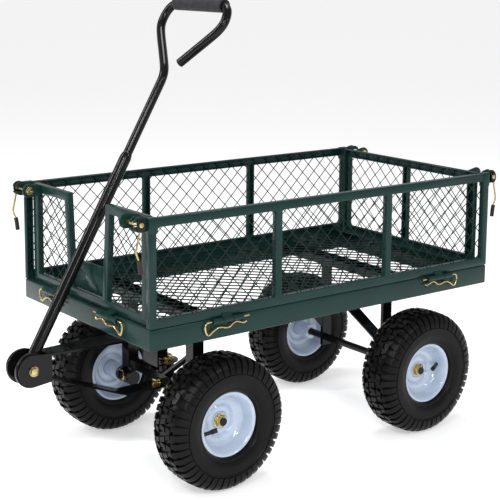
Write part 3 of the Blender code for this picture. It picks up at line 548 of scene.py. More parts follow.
# ---- wheels
@dataclass
class Wheel:
    """A pneumatic wheel with a knobbly tyre on a pressed rim.

    Attributes:
        end: which end of the cart.
        side: which side.
        valve_angle: where the valve stands, in degrees up from the rear, seen from the left.
        pitches: repeats of the tread round the tyre.
    """

    end: End
    side: Side
    valve_angle: float
    pitches: int = 24

    @property
    def tag(self) -> str:
        """The wheel's part of piece names."""
        return f"{self.end.word}_{self.side.word}"

    @property
    def body(self) -> str:
        """The wheel's body."""
        return "wheel_" + self.tag

    @property
    def centre(self) -> Vector:
        """Middle of the wheel on its axle."""
        x = FRONT_AXLE_X if self.end is End.FRONT else REAR_AXLE_X
        return Vector((x, self.side.value * HALF_TRACK, AXLE_Z))

    def build(self) -> None:
        """Builds the tyre, the rim, the hub and the valve."""
        self.build_tyre()
        self.build_rim()
        self.build_nut()

    def build_tyre(self) -> None:
        """Carcass with bead and sidewall rings, and a tread of shoulder lugs and centre blocks."""
        half = mm((60, 26.8), (63.6, 28.8), (64.1, 33.8), (66.2, 36.8), (69, 37.6), (71.6, 38),
            (72.8, 39.6), (79, 42.2), (88, 43.4), (96.2, 43.4), (97.5, 44.6), (98.5, 44.6), (99.2, 42.8),
            (106, 41.6), (112, 39), (117.5, 34.5), (121.5, 27.5), (123.8, 18), (124.6, 9), (124.8, 0))
        outer = half + [(radius, -offset) for radius, offset in reversed(half[:-1])]
        inner = mm((66.5, 26.2), (70, 32), (90, 37.2), (108, 34), (118, 20), (119.2, 0))
        inside = inner + [(radius, -offset) for radius, offset in reversed(inner[:-1])]
        ring = outer + [(radius, offset) for radius, offset in reversed(inside)]
        bm = bmesh.new()
        add_turned(bm, ring, self.centre, self.side.out, closed=True)
        self.add_tread(bm)
        make_piece("tyre_rubber_" + self.tag, bm, TYRE, self.body, ("tyre_" + self.tag,), smooth=30)

    def add_tread(self, bm: Shape) -> None:
        """Adds the moulded lugs: one pitch of them, repeated round the tyre."""
        pitch = 2 * pi / self.pitches
        wing_foot = mm((26.2, 120.5), (33, 116.5), (37.6, 111), (40, 106), (41.2, 101))
        wing_top = mm((25.6, 128.8), (35, 124.6), (40.8, 117.2), (43.4, 109), (44.4, 100.8))
        row_foot, row_top = mm((11.5, 123.6), (23.2, 120.5)), mm((11.8, 129.8), (22.6, 128.6))
        mid_foot, mid_top = mm((-8.2, 124), (8.2, 124)), mm((-7.6, 130), (7.6, 130))
        new = []
        for sign in (-1, 1):
            shift = 0.0 if sign > 0 else 0.25
            for start, width, skew in ((0.02, 0.45, 0.02), (0.52, 0.45, -0.02)):
                new += self.add_block(bm, wing_foot, wing_top, sign, (shift + start) * pitch,
                    (shift + start + width) * pitch, skew * pitch, 0.065 * pitch)
            for start, width, skew in ((0.2, 0.34, 0.1), (0.7, 0.3, -0.12)):
                new += self.add_block(bm, row_foot, row_top, sign, (shift + start) * pitch,
                    (shift + start + width) * pitch, skew * pitch)
        for start, width, skew in ((0.04, 0.34, 0.12), (0.54, 0.3, -0.1)):
            new += self.add_block(bm, mid_foot, mid_top, 1, start * pitch, (start + width) * pitch,
                skew * pitch)
        bmesh.ops.spin(bm, geom=new, cent=self.centre, axis=(0, 1, 0), angle=2 * pi - pitch,
            steps=self.pitches - 1, use_duplicate=True)

    def add_block(self, bm: Shape, foot: list, top: list, sign: int, start: float, end: float, skew: float,
            pinch: float = 0.0) -> list:
        """Adds one tread block between two angles.

        Args:
            bm: the tyre's shape.
            foot: (offset, radius) points where the block meets the carcass.
            top: the same number of points along the block's top.
            sign: which half of the tyre.
            start: first angle in radians.
            end: last angle in radians.
            skew: extra angle at the block's far end.
            pinch: angle taken off each flank at the block's first row.

        Returns:
            The block's geometry.
        """
        rows, columns = len(foot) - 1, 2
        sheet = bmesh.ops.create_grid(bm, x_segments=rows, y_segments=columns, size=0.5)["verts"]
        faces = list({f for v in sheet for f in v.link_faces})
        raised = verts_in(bmesh.ops.extrude_face_region(bm, geom=faces)["geom"])
        for verts, path, inset in ((raised, top, 0.008), (sheet, foot, 0.0)):
            for vert in verts:
                along, around = round((vert.co.x + 0.5) * rows), round((vert.co.y + 0.5) * columns)
                offset, radius = path[along]
                trim = inset + pinch * max(0.0, 1 - 2 * along / rows)
                angle = start + trim + (end - start - 2 * trim) * around / columns + skew * along / rows
                vert.co = self.centre + Vector((radius * cos(angle), offset * sign, radius * sin(angle)))
        every = list(set(sheet) | set(raised))
        return every + edges_at(every) + list({f for v in every for f in v.link_faces})

    def build_rim(self) -> None:
        """Deep pressed rim with a stepped dish, rolled lips and a welded hub."""
        half = mm((16.5, -2.2), (24, -2.2), (28.8, -1), (33, 4), (42, 5.2), (48.2, 10.5), (52.8, 23.5),
            (56.6, 30.8), (60, 33), (63, 32.4), (63.2, 30.4), (59.8, 29.6), (56.8, 25))
        section = half + mm((54.5, 5), (54.5, -5)) + [(r, -o) for r, o in reversed(half)]
        section = soften(soften(section, 0.0022, closed=True), 0.0006, closed=True)
        bm = bmesh.new()
        add_turned(bm, section, self.centre, self.side.out, closed=True)
        hub = soften(mm((8.4, 2.4), (16.2, 2.4), (17, -2), (17, -45.5), (8.4, -45.5)), 0.001, True)
        add_turned(bm, hub, self.centre, self.side.out, 48, closed=True)
        make_piece("rim_pressing_" + self.tag, bm, RIM, self.body, ("rim_" + self.tag,), smooth=42)
        angle = radians(self.valve_angle)
        spoke = Vector((cos(angle), 0, sin(angle)))
        out = self.side.out
        bend = mm((52, 10.5), (46, 13), (37, 18), (23.5, 25))
        path = [self.centre + spoke * r + out * o for r, o in bend]
        stem = bmesh.new()
        add_pipe(stem, curve_through(path, 3), 0.0037, 16)
        add_rod(stem, path[0] - spoke * 0.001, path[0] + (path[1] - path[0]) * 0.6, 0.0064, 20, 0.001)
        add_rod(stem, path[2] + (path[3] - path[2]) * 0.15, path[3] + (path[3] - path[2]) * 0.02, 0.0047,
            20, 0.0008)
        make_piece("valve_stem_" + self.tag, stem, VALVE, self.body, smooth=50)

    def build_nut(self) -> None:
        """Washer and lock nut on the axle's threaded end."""
        out = self.side.out
        base = self.centre + out * 0.0027
        bm = bmesh.new()
        add_washer(bm, base, out, 0.0083, 0.0138, 0.002, 40)
        add_rod(bm, base + out * 0.002, base + out * 0.0078, 0.0123, 6, 0.0008, 0.3)
        add_turned(bm, soften(mm((4, 7.6), (9.8, 7.6), (9.4, 10.1), (7, 10.4), (4, 10.4)), 0.0008, True),
            base, out, 40, closed=True)
        add_rod(bm, base + out * 0.006, base + out * 0.0121, 0.006, 24, 0.0007)
        body = "knuckle_" + self.side.word if self.end is End.FRONT else "chassis"
        make_piece("lock_nut_" + self.tag, bm, ZINC, body, ("axle_nut_" + self.tag,), smooth=30)


# ---- bed
@dataclass(frozen=True)
class Barrel:
    """One hinge barrel on the tray's wall.

    Attributes:
        owner: the panel's name.
        index: 1 or 2 along the panel.
        centre: middle of the barrel.
        away: unit vector along the barrel, towards the nearer corner.
        outward: unit vector out of the wall.
    """

    owner: str
    index: int
    centre: Vector
    away: Vector
    outward: Vector

    def add_knuckle(self, bm: Shape, shift: float, leaf: list) -> None:
        """Adds a rolled knuckle with the leaf that joins it to its sheet.

        Args:
            bm: the shape.
            shift: how far along the barrel it sits, in knuckle lengths.
            leaf: the leaf's (outward, up) outline about the barrel's axis.
        """
        middle = self.centre + self.away * shift * BARREL_LENGTH
        half = self.away * BARREL_LENGTH / 2
        add_pipe(bm, [middle - half, middle, middle + half], BARREL_RADIUS, 20, bore=BARREL_BORE)
        turn = Matrix((self.outward, UP, self.outward.cross(UP))).transposed()
        add_plate(bm, leaf, BARREL_LENGTH, at(*middle) @ turn.to_4x4())


def hinge_barrels() -> list[Barrel]:
    """All hinge barrels, two for each panel."""
    made = []
    for side in Side:
        for index, x in enumerate((FRONT + 0.166, BACK - 0.148)):
            centre = Vector((x, side.value * (HALF_BED + HINGE_OUT), HINGE_Z))
            made.append(Barrel(side.word, index + 1, centre, Vector((2 * index - 1, 0, 0)), side.out))
    for end in End:
        for index, y in enumerate((-0.1, 0.11)):
            centre = Vector((end.face + end.value * HINGE_OUT, y, HINGE_Z))
            made.append(Barrel(end.word, index + 1, centre, Vector((0, 2 * index - 1, 0)),
                Vector((end.value, 0, 0))))
    return made


@dataclass
class Bed:
    """The folded tray with its wire floor, cross members and hairpin clips."""

    bottom: float = 0.3037
    top: float = 0.3432
    flange: float = 0.025
    end_hem: float = 0.0225
    side_hem: float = 0.007
    sheet: float = 0.0019

    def build(self) -> None:
        """Builds the tray, its floor and what hangs on it."""
        self.build_tray()
        self.build_floor()
        for node in ("front_cross_member", "rear_cross_member"):
            refine(node, BLACK)
        for barrel in hinge_barrels():
            self.build_clip(barrel)

    def build_tray(self) -> None:
        """Folded sheet pan with rounded corners, a hemmed rim and the outer hinge knuckles."""
        bm = bmesh.new()
        add_block(bm, (FRONT, -HALF_BED, self.bottom), (BACK, HALF_BED, self.top))
        top = max(bm.faces, key=lambda f: f.calc_center_median().z)
        bmesh.ops.delete(bm, geom=[top], context="FACES_ONLY")
        base = min(bm.faces, key=lambda f: f.calc_center_median().z)
        bmesh.ops.inset_region(bm, faces=[base], thickness=self.flange, use_even_offset=True)
        bmesh.ops.delete(bm, geom=[base], context="FACES_ONLY")
        rim = [e for e in bm.edges if e.is_boundary and e.verts[0].co.z > self.top - 0.001]
        for vert in verts_in(bmesh.ops.extrude_edge_only(bm, edges=rim)["geom"]):
            vert.co.x += self.end_hem if vert.co.x < 0 else -self.end_hem
            vert.co.y += self.side_hem if vert.co.y < 0 else -self.side_hem
        bevel_folds(bm, 0.0028, 3)
        tray = make_piece("tray_pan", bm, GREEN, "chassis", ("bed_tray",), smooth=45)
        wall(tray, self.sheet)
        leaf = mm((-6.2, -19), (-4.6, -19), (-4.4, -6), (-2.2, -4.6), (-3.4, -2.8), (-6.2, 3))
        rolls = bmesh.new()
        for barrel in hinge_barrels():
            for shift in (-1.06, 1.06):
                barrel.add_knuckle(rolls, shift, leaf)
        make_piece("tray_hinge_knuckles", rolls, GREEN, "chassis", smooth=40)

    def build_floor(self) -> None:
        """Coated wire floor, welded on the cross members."""
        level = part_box("bed_floor")[0].z + 0.0004
        bm = bmesh.new()
        add_diamonds(bm, (FRONT + 0.003, -HALF_BED + 0.003), (BACK - 0.003, HALF_BED - 0.003), at(z=level),
            0.0354, 0.0014)
        make_piece("floor_wire", bm, GREEN_WIRE, "chassis", ("bed_floor",), smooth=60)

    def build_clip(self, barrel: Barrel) -> None:
        """Hairpin clip: straight leg through the barrel, wavy leg below."""
        node = f"{barrel.owner}_clip_{barrel.index}"
        bend = mm((-49, 0.4), (-35, 0), (-10, 0), (20, 0), (40, 0.2), (47, -1), (50.6, -5.2), (50.8, -11),
            (48.8, -18), (45.2, -23.2), (40.5, -23.2), (34, -18.5), (23, -13), (14, -12.8), (4, -15.2),
            (-4, -15), (-13, -9.2), (-20, -7.2), (-29, -9.8), (-37, -12.2), (-43, -9.8))
        path = [barrel.centre + barrel.away * along + Vector((0, 0, drop)) for along, drop in bend]
        bm = bmesh.new()
        add_pipe(bm, curve_through(path, 4), 0.0019, 12)
        make_piece("hairpin_" + node, bm, ZINC, node, (node,), smooth=60)


def add_diamonds(bm: Shape, low: tuple, high: tuple, place: Matrix, step: float, radius: float,
        sides: int = 8, trim: Callable | None = None) -> None:
    """Adds a diamond grid of welded wires inside a rectangle, in two touching layers.

    Args:
        bm: the shape.
        low: low (u, v) corner.
        high: high (u, v) corner.
        place: matrix from the grid's plane to the row frame.
        step: spacing of parallel wires, measured along u.
        radius: wire radius.
        sides: sides of each wire.
        trim: cuts a wire at slanted borders, or returns None to drop it.
    """
    width, height = high[0] - low[0], high[1] - low[1]
    count = int((width + height) / step) + 1
    first = ((width + height) - (count - 1) * step) / 2
    for lean in (1, -1):
        for index in range(count):
            shift = first + index * step
            a, b = max(0.0, shift - height), min(width, shift)
            if b - a < 0.004:
                continue
            ends = []
            for u in (a, b):
                v = shift - u
                ends.append((low[0] + (u if lean > 0 else width - u), low[1] + v))
            if trim:
                ends = trim(*ends)
            if not ends:
                continue
            layer = radius * 0.93 * lean
            points = [place @ Vector((u, v, layer)) for u, v in ends]
            add_rod(bm, points[0], points[1], radius, sides)


# ---- panels
@dataclass
class Panel:
    """A folded channel frame with diamond wire, in its own plane.

    Attributes:
        name: the panel's name.
        place: matrix from (along, z, outward) to the row frame, at the frame's outer face.
        columns: u positions of the frame's upright edges, low to high.
        open_columns: indexes of the columns' spans that are windows.
        lean: how far a column's u moves for each metre of height.
        gaps: indexes of the spans with no top rail.
    """

    name: str
    place: Matrix
    columns: list
    open_columns: tuple
    lean: dict
    gaps: tuple = ()
    low: float = 0.344
    high: float = 0.5445
    rail: float = 0.017
    depth: float = 0.012
    sheet: float = 0.0015

    def level_u(self, column: int, z: float) -> float:
        """The u position of a column at a height."""
        return self.columns[column] + self.lean.get(column, 0.0) * (z - self.low)

    def frame_mesh(self) -> Shape:
        """The frame's folded sheet: its outer face, with the flanges turned in."""
        bm = bmesh.new()
        levels = [self.low, self.low + self.rail, self.high - self.rail, self.high]
        across = len(self.columns) - 1
        grid = bmesh.ops.create_grid(bm, x_segments=across, y_segments=3, size=0.5)["verts"]
        spots = {v: (round((v.co.x + 0.5) * across), round((v.co.y + 0.5) * 3)) for v in grid}
        windows = []
        for face in bm.faces:
            middle = face.calc_center_median()
            column, row = int((middle.x + 0.5) * across), int((middle.y + 0.5) * 3)
            if (row == 1 and column in self.open_columns) or (row >= 1 and column in self.gaps):
                windows.append(face)
        bmesh.ops.delete(bm, geom=windows, context="FACES")
        for vert, (column, row) in spots.items():
            if vert.is_valid:
                vert.co = Vector((self.level_u(column, levels[row]), levels[row], 0))
        rims = [e for e in bm.edges if e.is_boundary]
        back = verts_in(bmesh.ops.extrude_edge_only(bm, edges=rims)["geom"])
        bmesh.ops.translate(bm, verts=back, vec=(0, 0, -self.depth))
        bevel_folds(bm, 0.0014)
        bmesh.ops.dissolve_limit(bm, angle_limit=radians(0.5), verts=bm.verts, edges=bm.edges)
        bmesh.ops.recalc_face_normals(bm, faces=bm.faces)
        front = max(bm.faces, key=lambda f: f.calc_area() if abs(f.normal.z) > 0.9 else 0)
        if front.normal.z < 0:
            bmesh.ops.reverse_faces(bm, faces=bm.faces)
        bmesh.ops.transform(bm, matrix=self.place, verts=bm.verts)
        if self.place.determinant() < 0:
            bmesh.ops.reverse_faces(bm, faces=bm.faces)
        return bm

    def build_frame(self) -> None:
        """The frame's piece."""
        piece = make_piece(self.name + "_frame_channel", self.frame_mesh(), GREEN, self.name,
            (self.name + "_frame",), smooth=40, weld=False)
        wall(piece, self.sheet)

    def build_wire(self, nodes: tuple, borders: list) -> None:
        """Diamond wire between the frame's edges.

        Args:
            nodes: CAD nodes that it stands for.
            borders: (low column, high column) of each stretch of wire.
        """
        bm = bmesh.new()
        middle = self.place @ at(z=-self.depth / 2)
        for first, last in borders:
            edges = [self.level_u(column, z) for column in (first, last) for z in (self.low, self.high)]
            low = (min(edges) + 0.002, self.low + 0.004)
            high = (max(edges) - 0.002, self.high - 0.004)
            add_diamonds(bm, low, high, middle, 0.035, 0.00095, 6, self.slanted_trim(first, last))
        make_piece(self.name + "_diamond_wire", bm, GREEN_WIRE, self.name, nodes, smooth=70, weld=False)

    def slanted_trim(self, first: int, last: int) -> Callable:
        """A function that cuts a wire at the stretch's leaning borders."""
        def trim(start: tuple, end: tuple) -> list | None:
            """Cuts one wire; returns its two ends or nothing."""
            a, b = Vector(start), Vector(end)
            for column, keep in ((first, 1), (last, -1)):
                inside = [keep * (p.x - self.level_u(column, p.y)) - 0.003 for p in (a, b)]
                if inside[0] < 0 and inside[1] < 0:
                    return None
                if inside[0] < 0:
                    a = a.lerp(b, inside[0] / (inside[0] - inside[1]))
                elif inside[1] < 0:
                    b = b.lerp(a, inside[1] / (inside[1] - inside[0]))
            return [tuple(a), tuple(b)] if (a - b).length > 0.006 else None
        return trim

    def build_knuckles(self, setback: float) -> None:
        """Rolled middle knuckles on leaves at the panel's foot.

        Args:
            setback: how far the panel's outer face stands in from the tray's.
        """
        bm = bmesh.new()
        foot = -HINGE_OUT - setback
        if setback:
            leaf = [(0.0044, 0.0024), (-0.002, 0.0078), (foot, 0.0112), (foot - 0.0008, 0.0112),
                (foot - 0.0008, 0.0068), (-0.0052, 0.0062), (-0.004, 0.0034)]
        else:
            leaf = [(0.0044, 0.0024), (-0.003, 0.0072), (-0.0042, 0.011), (foot, 0.0114), (foot, 0.0068),
                (-0.0052, 0.0062), (-0.004, 0.0034)]
        for barrel in hinge_barrels():
            if barrel.owner + "_panel" == self.name:
                barrel.add_knuckle(bm, 0, leaf)
        make_piece(self.name + "_hinge_knuckles", bm, GREEN, self.name, smooth=40)


@dataclass
class SidePanel:
    """A long panel with its corner brackets, latch ears and hanging levers."""

    side: Side

    def build(self) -> None:
        """Builds the panel and what it carries."""
        bay = (BACK - FRONT - 4 * POST) / 3
        columns = [FRONT]
        for _ in range(3):
            columns += [columns[-1] + POST, columns[-1] + POST + bay]
        columns.append(BACK)
        sign = self.side.value
        outer = Matrix(((1, 0, 0, 0), (0, 0, sign, sign * HALF_BED), (0, 1, 0, 0), (0, 0, 0, 1)))
        panel = Panel(self.side.word + "_panel", outer, columns, (1, 3, 5), {})
        panel.build_frame()
        panel.build_wire((panel.name + "_mesh",), [(0, 7)])
        panel.build_knuckles(0.0)
        bm = bmesh.new()
        for end in End:
            self.add_corner(bm, end)
        make_piece(panel.name + "_corner_brackets", bm, GREEN, panel.name, smooth=40)
        for end in End:
            self.build_lever(end)

    def add_corner(self, bm: Shape, end: End) -> None:
        """Adds a pressed corner cap with its slotted latch ear."""
        sign, face = self.side.value, end.face
        inward = -end.value
        add_block(bm, (face - inward * 0.001, sign * 0.2222, 0.517),
            (face + inward * 0.0175, sign * 0.236, 0.5458), 0.0012)
        ring = arc((0, 0), 0.014, 86, 152, 7) + mm((-12.4, 4.5), (3, 5.2), (4.8, 0), (3, -6), (-12.4, -5.5))
        ring += arc((0, 0), 0.014, 207, 274, 7) + mm((16, -13.5), (16, 10.5))
        mirror = Matrix.Diagonal((inward, 1, 1, 1))
        for y in (0.2142, 0.2258):
            add_plate(bm, ring, 0.003, at(end.latch_x, sign * y, LATCH_Z) @ mirror @ PLANE_XZ, 0.0005)
        add_block(bm, (end.latch_x + inward * 0.006, sign * 0.22 - 0.0065, 0.5215),
            (end.latch_x + inward * 0.016, sign * 0.22 + 0.0065, 0.5245), 0.0006)

    def build_lever(self, end: End) -> None:
        """Latch lever: a lens-shaped cam, a bowed wire and its vinyl sleeve."""
        sign, out = self.side.value, end.value
        x, y = end.latch_x, sign * 0.2315
        tag = f"{end.word}_{self.side.word}"
        cam = bmesh.new()
        lens = arc((-0.0085, 0), 0.0165, -46, 46, 8) + arc((0.0085, 0), 0.0165, 134, 226, 8)
        add_plate(cam, lens, 0.005, at(x, y, LATCH_Z - 0.001) @ PLANE_XZ, 0.0008)
        make_piece("latch_cam_" + tag, cam, BLACK, "lever_" + tag, smooth=35)
        wire = bmesh.new()
        bow = mm((0, 0), (2, -10), (4.2, -20), (7, -32), (9.8, -44), (9.4, -51), (6.2, -59), (3, -68),
            (1.8, -78))
        path = curve_through([Vector((x + out * u, y, LATCH_Z + v)) for u, v in bow], 4)
        add_pipe(wire, path, 0.0018, 12)
        add_rod(wire, (x, y - 0.0031, LATCH_Z), (x, y + 0.0031, LATCH_Z), 0.0046, 20, 0.0006)
        make_piece("latch_wire_" + tag, wire, ZINC, "lever_" + tag, ("latch_lever_" + tag,), smooth=60)
        sleeve = bmesh.new()
        tip = mm((5, -62.5), (3.4, -67), (1.8, -78), (0.8, -87))
        path = curve_through([Vector((x + out * u, y, LATCH_Z + v)) for u, v in tip], 3)
        add_pipe(sleeve, path, 0.0042, 20)
        make_piece("latch_sleeve_" + tag, sleeve, VINYL, "lever_" + tag, smooth=50)


@dataclass
class EndPanel:
    """A short panel between the side panels, with the latch bolts; the front one is notched."""

    end: End
    half: float = 0.2118
    setback: float = 0.0095

    @property
    def name(self) -> str:
        """The panel's body."""
        return self.end.word + "_panel"

    def build(self) -> None:
        """Builds the panel, its latch ears and bolts."""
        out = self.end.value
        face = self.end.face - out * self.setback
        outer = Matrix(((0, 0, out, face), (1, 0, 0, 0), (0, 1, 0, 0), (0, 0, 0, 1)))
        half = self.half
        if self.end is End.REAR:
            columns = [-half, -half + 0.021, -POST / 2, POST / 2, half - 0.021, half]
            panel = Panel(self.name, outer, columns, (1, 3), {})
            stretches = [(0, 5)]
            nodes = ("rear_panel_mesh",)
        else:
            slope = 0.014 / 0.182
            foot = 0.056 - slope * 0.017
            lean = {2: -slope, 3: -slope, 4: slope, 5: slope}
            columns = [-half, -half + 0.019, -foot - POST, -foot, foot, foot + POST, half - 0.019, half]
            panel = Panel(self.name, outer, columns, (1, 5), lean, gaps=(3,))
            stretches = [(0, 3), (4, 7)]
            nodes = ("front_panel_mesh_left", "front_panel_mesh_right")
            self.build_notch_plate(outer)
        panel.build_frame()
        panel.build_wire(nodes, stretches)
        panel.build_knuckles(self.setback)
        self.build_latches()

    def build_notch_plate(self, outer: Matrix) -> None:
        """Sheet that closes the notch's foot, with its pressed diagonal crease."""
        bm = bmesh.new()
        low, top = 0.3633, 0.418
        corners = [(-0.0552, low), (0.0552, low), (0.0592, top), (-0.0592, top)]
        verts = [bm.verts.new((u, v, -0.004)) for u, v in corners]
        verts[3].co.z -= 0.003
        bm.faces.new((verts[0], verts[1], verts[2]))
        bm.faces.new((verts[0], verts[2], verts[3]))
        rim = [e for e in bm.edges if e.is_boundary and min(v.co.y for v in e.verts) > top - 0.001]
        hem = verts_in(bmesh.ops.extrude_edge_only(bm, edges=rim)["geom"])
        bmesh.ops.translate(bm, verts=hem, vec=(0, 0, -0.006))
        bmesh.ops.recalc_face_normals(bm, faces=bm.faces)
        bmesh.ops.transform(bm, matrix=outer, verts=bm.verts)
        plate = make_piece("notch_plate", bm, GREEN, self.name, ("front_notch_plate",), smooth=1)
        wall(plate, 0.0012)

    def build_latches(self) -> None:
        """Round ears welded to the end posts and the gold cross bolts through them."""
        x = self.end.latch_x
        ears = bmesh.new()
        for side in Side:
            sign = side.value
            ring = arc((0, 0), 0.014, 80, 280, 16) + mm((10, -14), (29, -10), (29, 8.5))
            mirror = Matrix.Diagonal((-self.end.value, 1, 1, 1))
            add_plate(ears, ring, 0.004, at(x, sign * 0.182, LATCH_Z) @ mirror @ PLANE_XZ, 0.0008)
            bolt = bmesh.new()
            tag = f"{self.end.word}_{side.word}"
            add_rod(bolt, (x, sign * 0.179, LATCH_Z), (x, sign * 0.2268, LATCH_Z), 0.0039, 24, 0.0005)
            add_rod(bolt, (x, sign * 0.1748, LATCH_Z), (x, sign * 0.1798, LATCH_Z), 0.0067, 6, 0.0006)
            add_washer(bolt, Vector((x, sign * 0.1797, LATCH_Z)), -side.out, 0.0036, 0.0086, 0.0015, 32)
            make_piece("cross_bolt_" + tag, bolt, ZINC, self.name, ("latch_bolt_" + tag,), smooth=35)
        make_piece(self.name + "_latch_ears", ears, GREEN, self.name, smooth=35)


# ---- pull handle and running gear
@dataclass
class PullHandle:
    """Two-piece tube handle with a bent loop and a foam grip, leaning back at rest."""

    lean: float = radians(30)

    def along(self, reach: float, sideways: float = 0.0) -> Vector:
        """A point on the handle's plane, by its reach from the pivot."""
        return PIVOT + Vector((reach * sin(self.lean), sideways, reach * cos(self.lean)))

    def build(self) -> None:
        """Builds the tubes, grip, drum and pivot bolt."""
        drum = bmesh.new()
        for side in Side:
            add_washer(drum, PIVOT + side.out * 0.0144, side.out, 0.0056, 0.0335, 0.006, 64, 0.0008)
        add_turned(drum, mm((5.6, -15), (12.5, -15), (12.5, 15), (5.6, 15)), PIVOT, Vector((0, 1, 0)), 48,
            closed=True)
        make_piece("pivot_discs", drum, BLACK, "handle", ("handle_pivot_drum",), smooth=35)
        lower = bmesh.new()
        reaches = [0.01, 0.1, 0.2, 0.3, 0.4, 0.433]
        add_pipe(lower, [self.along(r) for r in reaches], 0.0114, 40, bore=0.0095)
        mouth = mm((11.4, 0), (11.2, 4), (10, 9), (9.5, 11.8), (9.1, 12), (9.1, 2))
        start = self.along(0.433)
        add_turned(lower, mouth, start, (start - PIVOT).normalized(), 40)
        make_piece("lower_tube", lower, BLACK, "handle", ("handle_lower_tube",), smooth=40)
        upper = bmesh.new()
        corners = mm((400, 0), (500, 0), (590, 0), (612, 1.8), (630, 11), (658, 36), (690, 66), (712, 84.5),
            (728, 91.5), (746, 91.5), (760, 85.5), (768.5, 74), (770, 60), (770, 0), (770, -80),
            (769, -93.5), (761, -106), (748, -113), (732, -114.5), (715, -106), (695, -87), (670, -61),
            (643, -33))
        add_pipe(upper, curve_through([self.along(*c) for c in corners], 5), 0.0088, 32, bore=0.007)
        make_piece("upper_tube", upper, BLACK, "handle", ("handle_upper_tube",), smooth=50)
        grip = bmesh.new()
        hold = [self.along(0.77, y) for y in (0.07, 0.066, 0.03, 0.0, -0.03, -0.06, -0.088, -0.092)]
        add_pipe(grip, hold, 0.0132, 40, bore=0.0098)
        bevel_edges(grip, [e for e in grip.edges if e.calc_face_angle(0) > 1.2], 0.0014, 3)
        make_piece("foam_grip", grip, FOAM, "handle", ("handle_grip",), smooth=60)
        self.build_pivot_bolt()

    def build_pivot_bolt(self) -> None:
        """Gold bolt through the clevis, with washers, head and lock nut."""
        bm = bmesh.new()
        x, z = PIVOT.x, PIVOT.z
        add_rod(bm, (x, -0.03, z), (x, 0.036, z), 0.0049, 24, 0.0005)
        add_rod(bm, (x, -0.0332, z), (x, -0.0285, z), 0.009, 6, 0.0008, 0.2)
        add_rod(bm, (x, 0.0285, z), (x, 0.034, z), 0.009, 6, 0.0008, 0.5)
        for side in Side:
            add_washer(bm, PIVOT + side.out * 0.0269, side.out, 0.0048, 0.0098, 0.0016, 36)
        make_piece("pivot_bolt", bm, ZINC, "tongue", ("handle_pivot_bolt",), smooth=30)


class RunningGear:
    """Axle frames, knuckles, tie rods and the tongue, in black, with gold bolts."""

    def build(self) -> None:
        """Dresses the CAD's own shapes and adds the fasteners."""
        for node in ("front_axle_frame", "rear_leg_left", "rear_leg_right", "rear_axle",
                "steering_knuckle_left", "steering_knuckle_right", "tie_rod_left", "tie_rod_right",
                "tongue_clevis", "tongue_top_bar", "tongue_lower_bar"):
            refine(node, BLACK)
        refine("king_bolt", ZINC, 0.0008)
        self.build_king_nuts()
        for side in Side:
            self.build_collar(side)

    def build_king_nuts(self) -> None:
        """Washer and nut on the king bolt's upper plate, and on the lower bar's stop bolt."""
        bm = bmesh.new()
        for ahead, level, across in ((0.0, 0.1976, 0.016), (0.019, 0.1508, 0.015)):
            base = Vector((KING_X - ahead, 0, level))
            washer = [(0.0061, 0.0), (across, 0.0), (across, 0.0018), (0.0061, 0.0018)]
            add_turned(bm, washer, base, UP, 40)
            add_rod(bm, base + UP * 0.0018, base + UP * 0.0095, across * 0.78, 6, 0.0009)
        make_piece("king_bolt_nuts", bm, ZINC, "tongue", smooth=30)

    def build_collar(self, side: Side) -> None:
        """Boss on the front of a steering knuckle, with its gold washer and bolt head."""
        middle = Vector((FRONT_AXLE_X, side.value * 0.117, 0.14))
        ahead = Vector((-1, 0, 0))
        boss = bmesh.new()
        add_rod(boss, middle + ahead * 0.008, middle + ahead * 0.0235, 0.0138, 40, 0.0012)
        make_piece("knuckle_boss_" + side.word, boss, BLACK, "knuckle_" + side.word, smooth=40)
        base = middle + ahead * 0.0236
        ring = bmesh.new()
        add_turned(ring, mm((9.4, 0), (13.4, 0), (12.8, 2.2), (9.4, 2.2)), base, ahead, 40)
        make_piece("knuckle_washer_" + side.word, ring, ZINC, "knuckle_" + side.word, smooth=30)
        head = bmesh.new()
        add_rod(head, base, base + ahead * 0.0056, 0.009, 6, 0.0008, 0.3)
        make_piece("knuckle_bolt_" + side.word, head, BLACK, "knuckle_" + side.word, smooth=30)


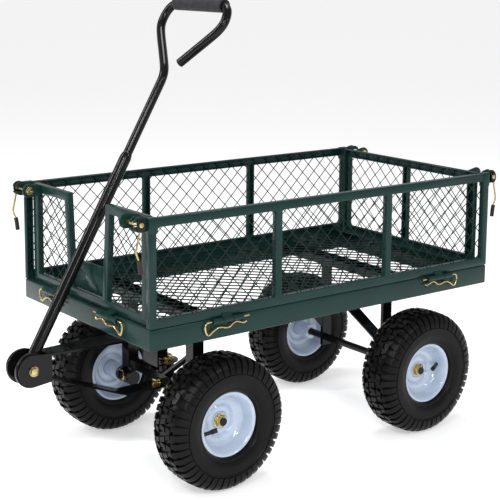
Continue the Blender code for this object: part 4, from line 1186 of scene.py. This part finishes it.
# ---- stage
def build_stage() -> None:
    """Pale floor, dim white surroundings and soft studio lights."""
    pale = bpy.data.materials.new("pale_floor")
    pale.use_nodes = True
    inputs = pale.node_tree.nodes["Principled BSDF"].inputs
    for socket, value in (("Base Color", linear("f4f4f5")), ("Roughness", 0.9), ("Specular IOR Level", 0.1),
            ("Emission Color", (1, 1, 1, 1)), ("Emission Strength", 0.44)):
        inputs[socket].default_value = value
    bm = bmesh.new()
    bmesh.ops.create_grid(bm, x_segments=1, y_segments=1, size=45)
    floor = show_mesh("floor", bm, pale)
    world = bpy.data.worlds.new("studio")
    world.use_nodes = True
    world.node_tree.nodes["Background"].inputs["Color"].default_value = (1, 1, 1, 1)
    world.node_tree.nodes["Background"].inputs["Strength"].default_value = 0.5
    bpy.context.scene.world = world
    bpy.context.scene.view_settings.view_transform = "Standard"
    for row in (("key", (-2.4, -2.0, 2.5), (0, 0, 0.3), (0.4, 0.4), 24),
                ("side", (0.9, -3.0, 1.9), (0, 0, 0.3), (0.3, 0.3), 10),
                ("top", (0.2, 0.3, 2.8), (0, 0, 0.3), (0.9, 0.9), 26),
                ("strip_front", (-2.5, 1.6, 2.2), (-0.3, 0, 0.6), (0.2, 2.4), 55),
                ("strip_near", (-1.3, -2.9, 1.8), (-0.3, 0, 0.6), (0.12, 2.2), 34)):
        add_light(*row)


def add_light(name: str, place: tuple, target: tuple, size: tuple, power: float) -> None:
    """Adds a rectangular area light that the camera doesn't see.

    Args:
        name: its name.
        place: where it stands.
        target: where it points.
        size: its width and height.
        power: watts.
    """
    lamp = bpy.data.lights.new(name, "AREA")
    lamp.shape = "RECTANGLE"
    lamp.size, lamp.size_y = size
    lamp.energy = power
    made = show(name, lamp)
    made.location = place
    made.rotation_euler = (Vector(target) - Vector(place)).to_track_quat("-Z", "Y").to_euler()
    made.visible_camera = False


def place_camera() -> None:
    """Camera at the front left corner, above the bed, with a small downward lens shift."""
    lens = bpy.data.cameras.new("camera")
    lens.lens = 92.64
    lens.sensor_width = 36
    lens.shift_y = -0.16
    camera = show("camera", lens)
    yaw, pitch, roll = radians(52.662), radians(-9.265), radians(0.443)
    forward = Vector((cos(pitch) * cos(yaw), cos(pitch) * sin(yaw), sin(pitch)))
    flat = forward.cross(UP).normalized()
    level = flat.cross(forward)
    right = flat * cos(roll) + level * sin(roll)
    up = level * cos(roll) - flat * sin(roll)
    turn = Matrix((right, up, -forward)).transposed().to_4x4()
    camera.matrix_world = at(-1.1919 + FRONT, -2.0846, 0.9905) @ turn
    bpy.context.scene.camera = camera


def main() -> None:
    """Builds the cart's pieces in order and the studio round it."""
    logging.basicConfig(level=logging.INFO, format="%(name)s: %(message)s")
    place_camera()
    Bed().build()
    LOG.info("bed built")
    for side in Side:
        SidePanel(side).build()
    for end in End:
        EndPanel(end).build()
    LOG.info("panels built")
    for end, side, valve in ((End.FRONT, Side.LEFT, 200), (End.FRONT, Side.RIGHT, 130),
            (End.REAR, Side.LEFT, 6), (End.REAR, Side.RIGHT, 60)):
        Wheel(end, side, valve).build()
    LOG.info("wheels built")
    PullHandle().build()
    RunningGear().build()
    LOG.info("handle and running gear built")
    build_stage()


if __name__ == "__main__":
    main()
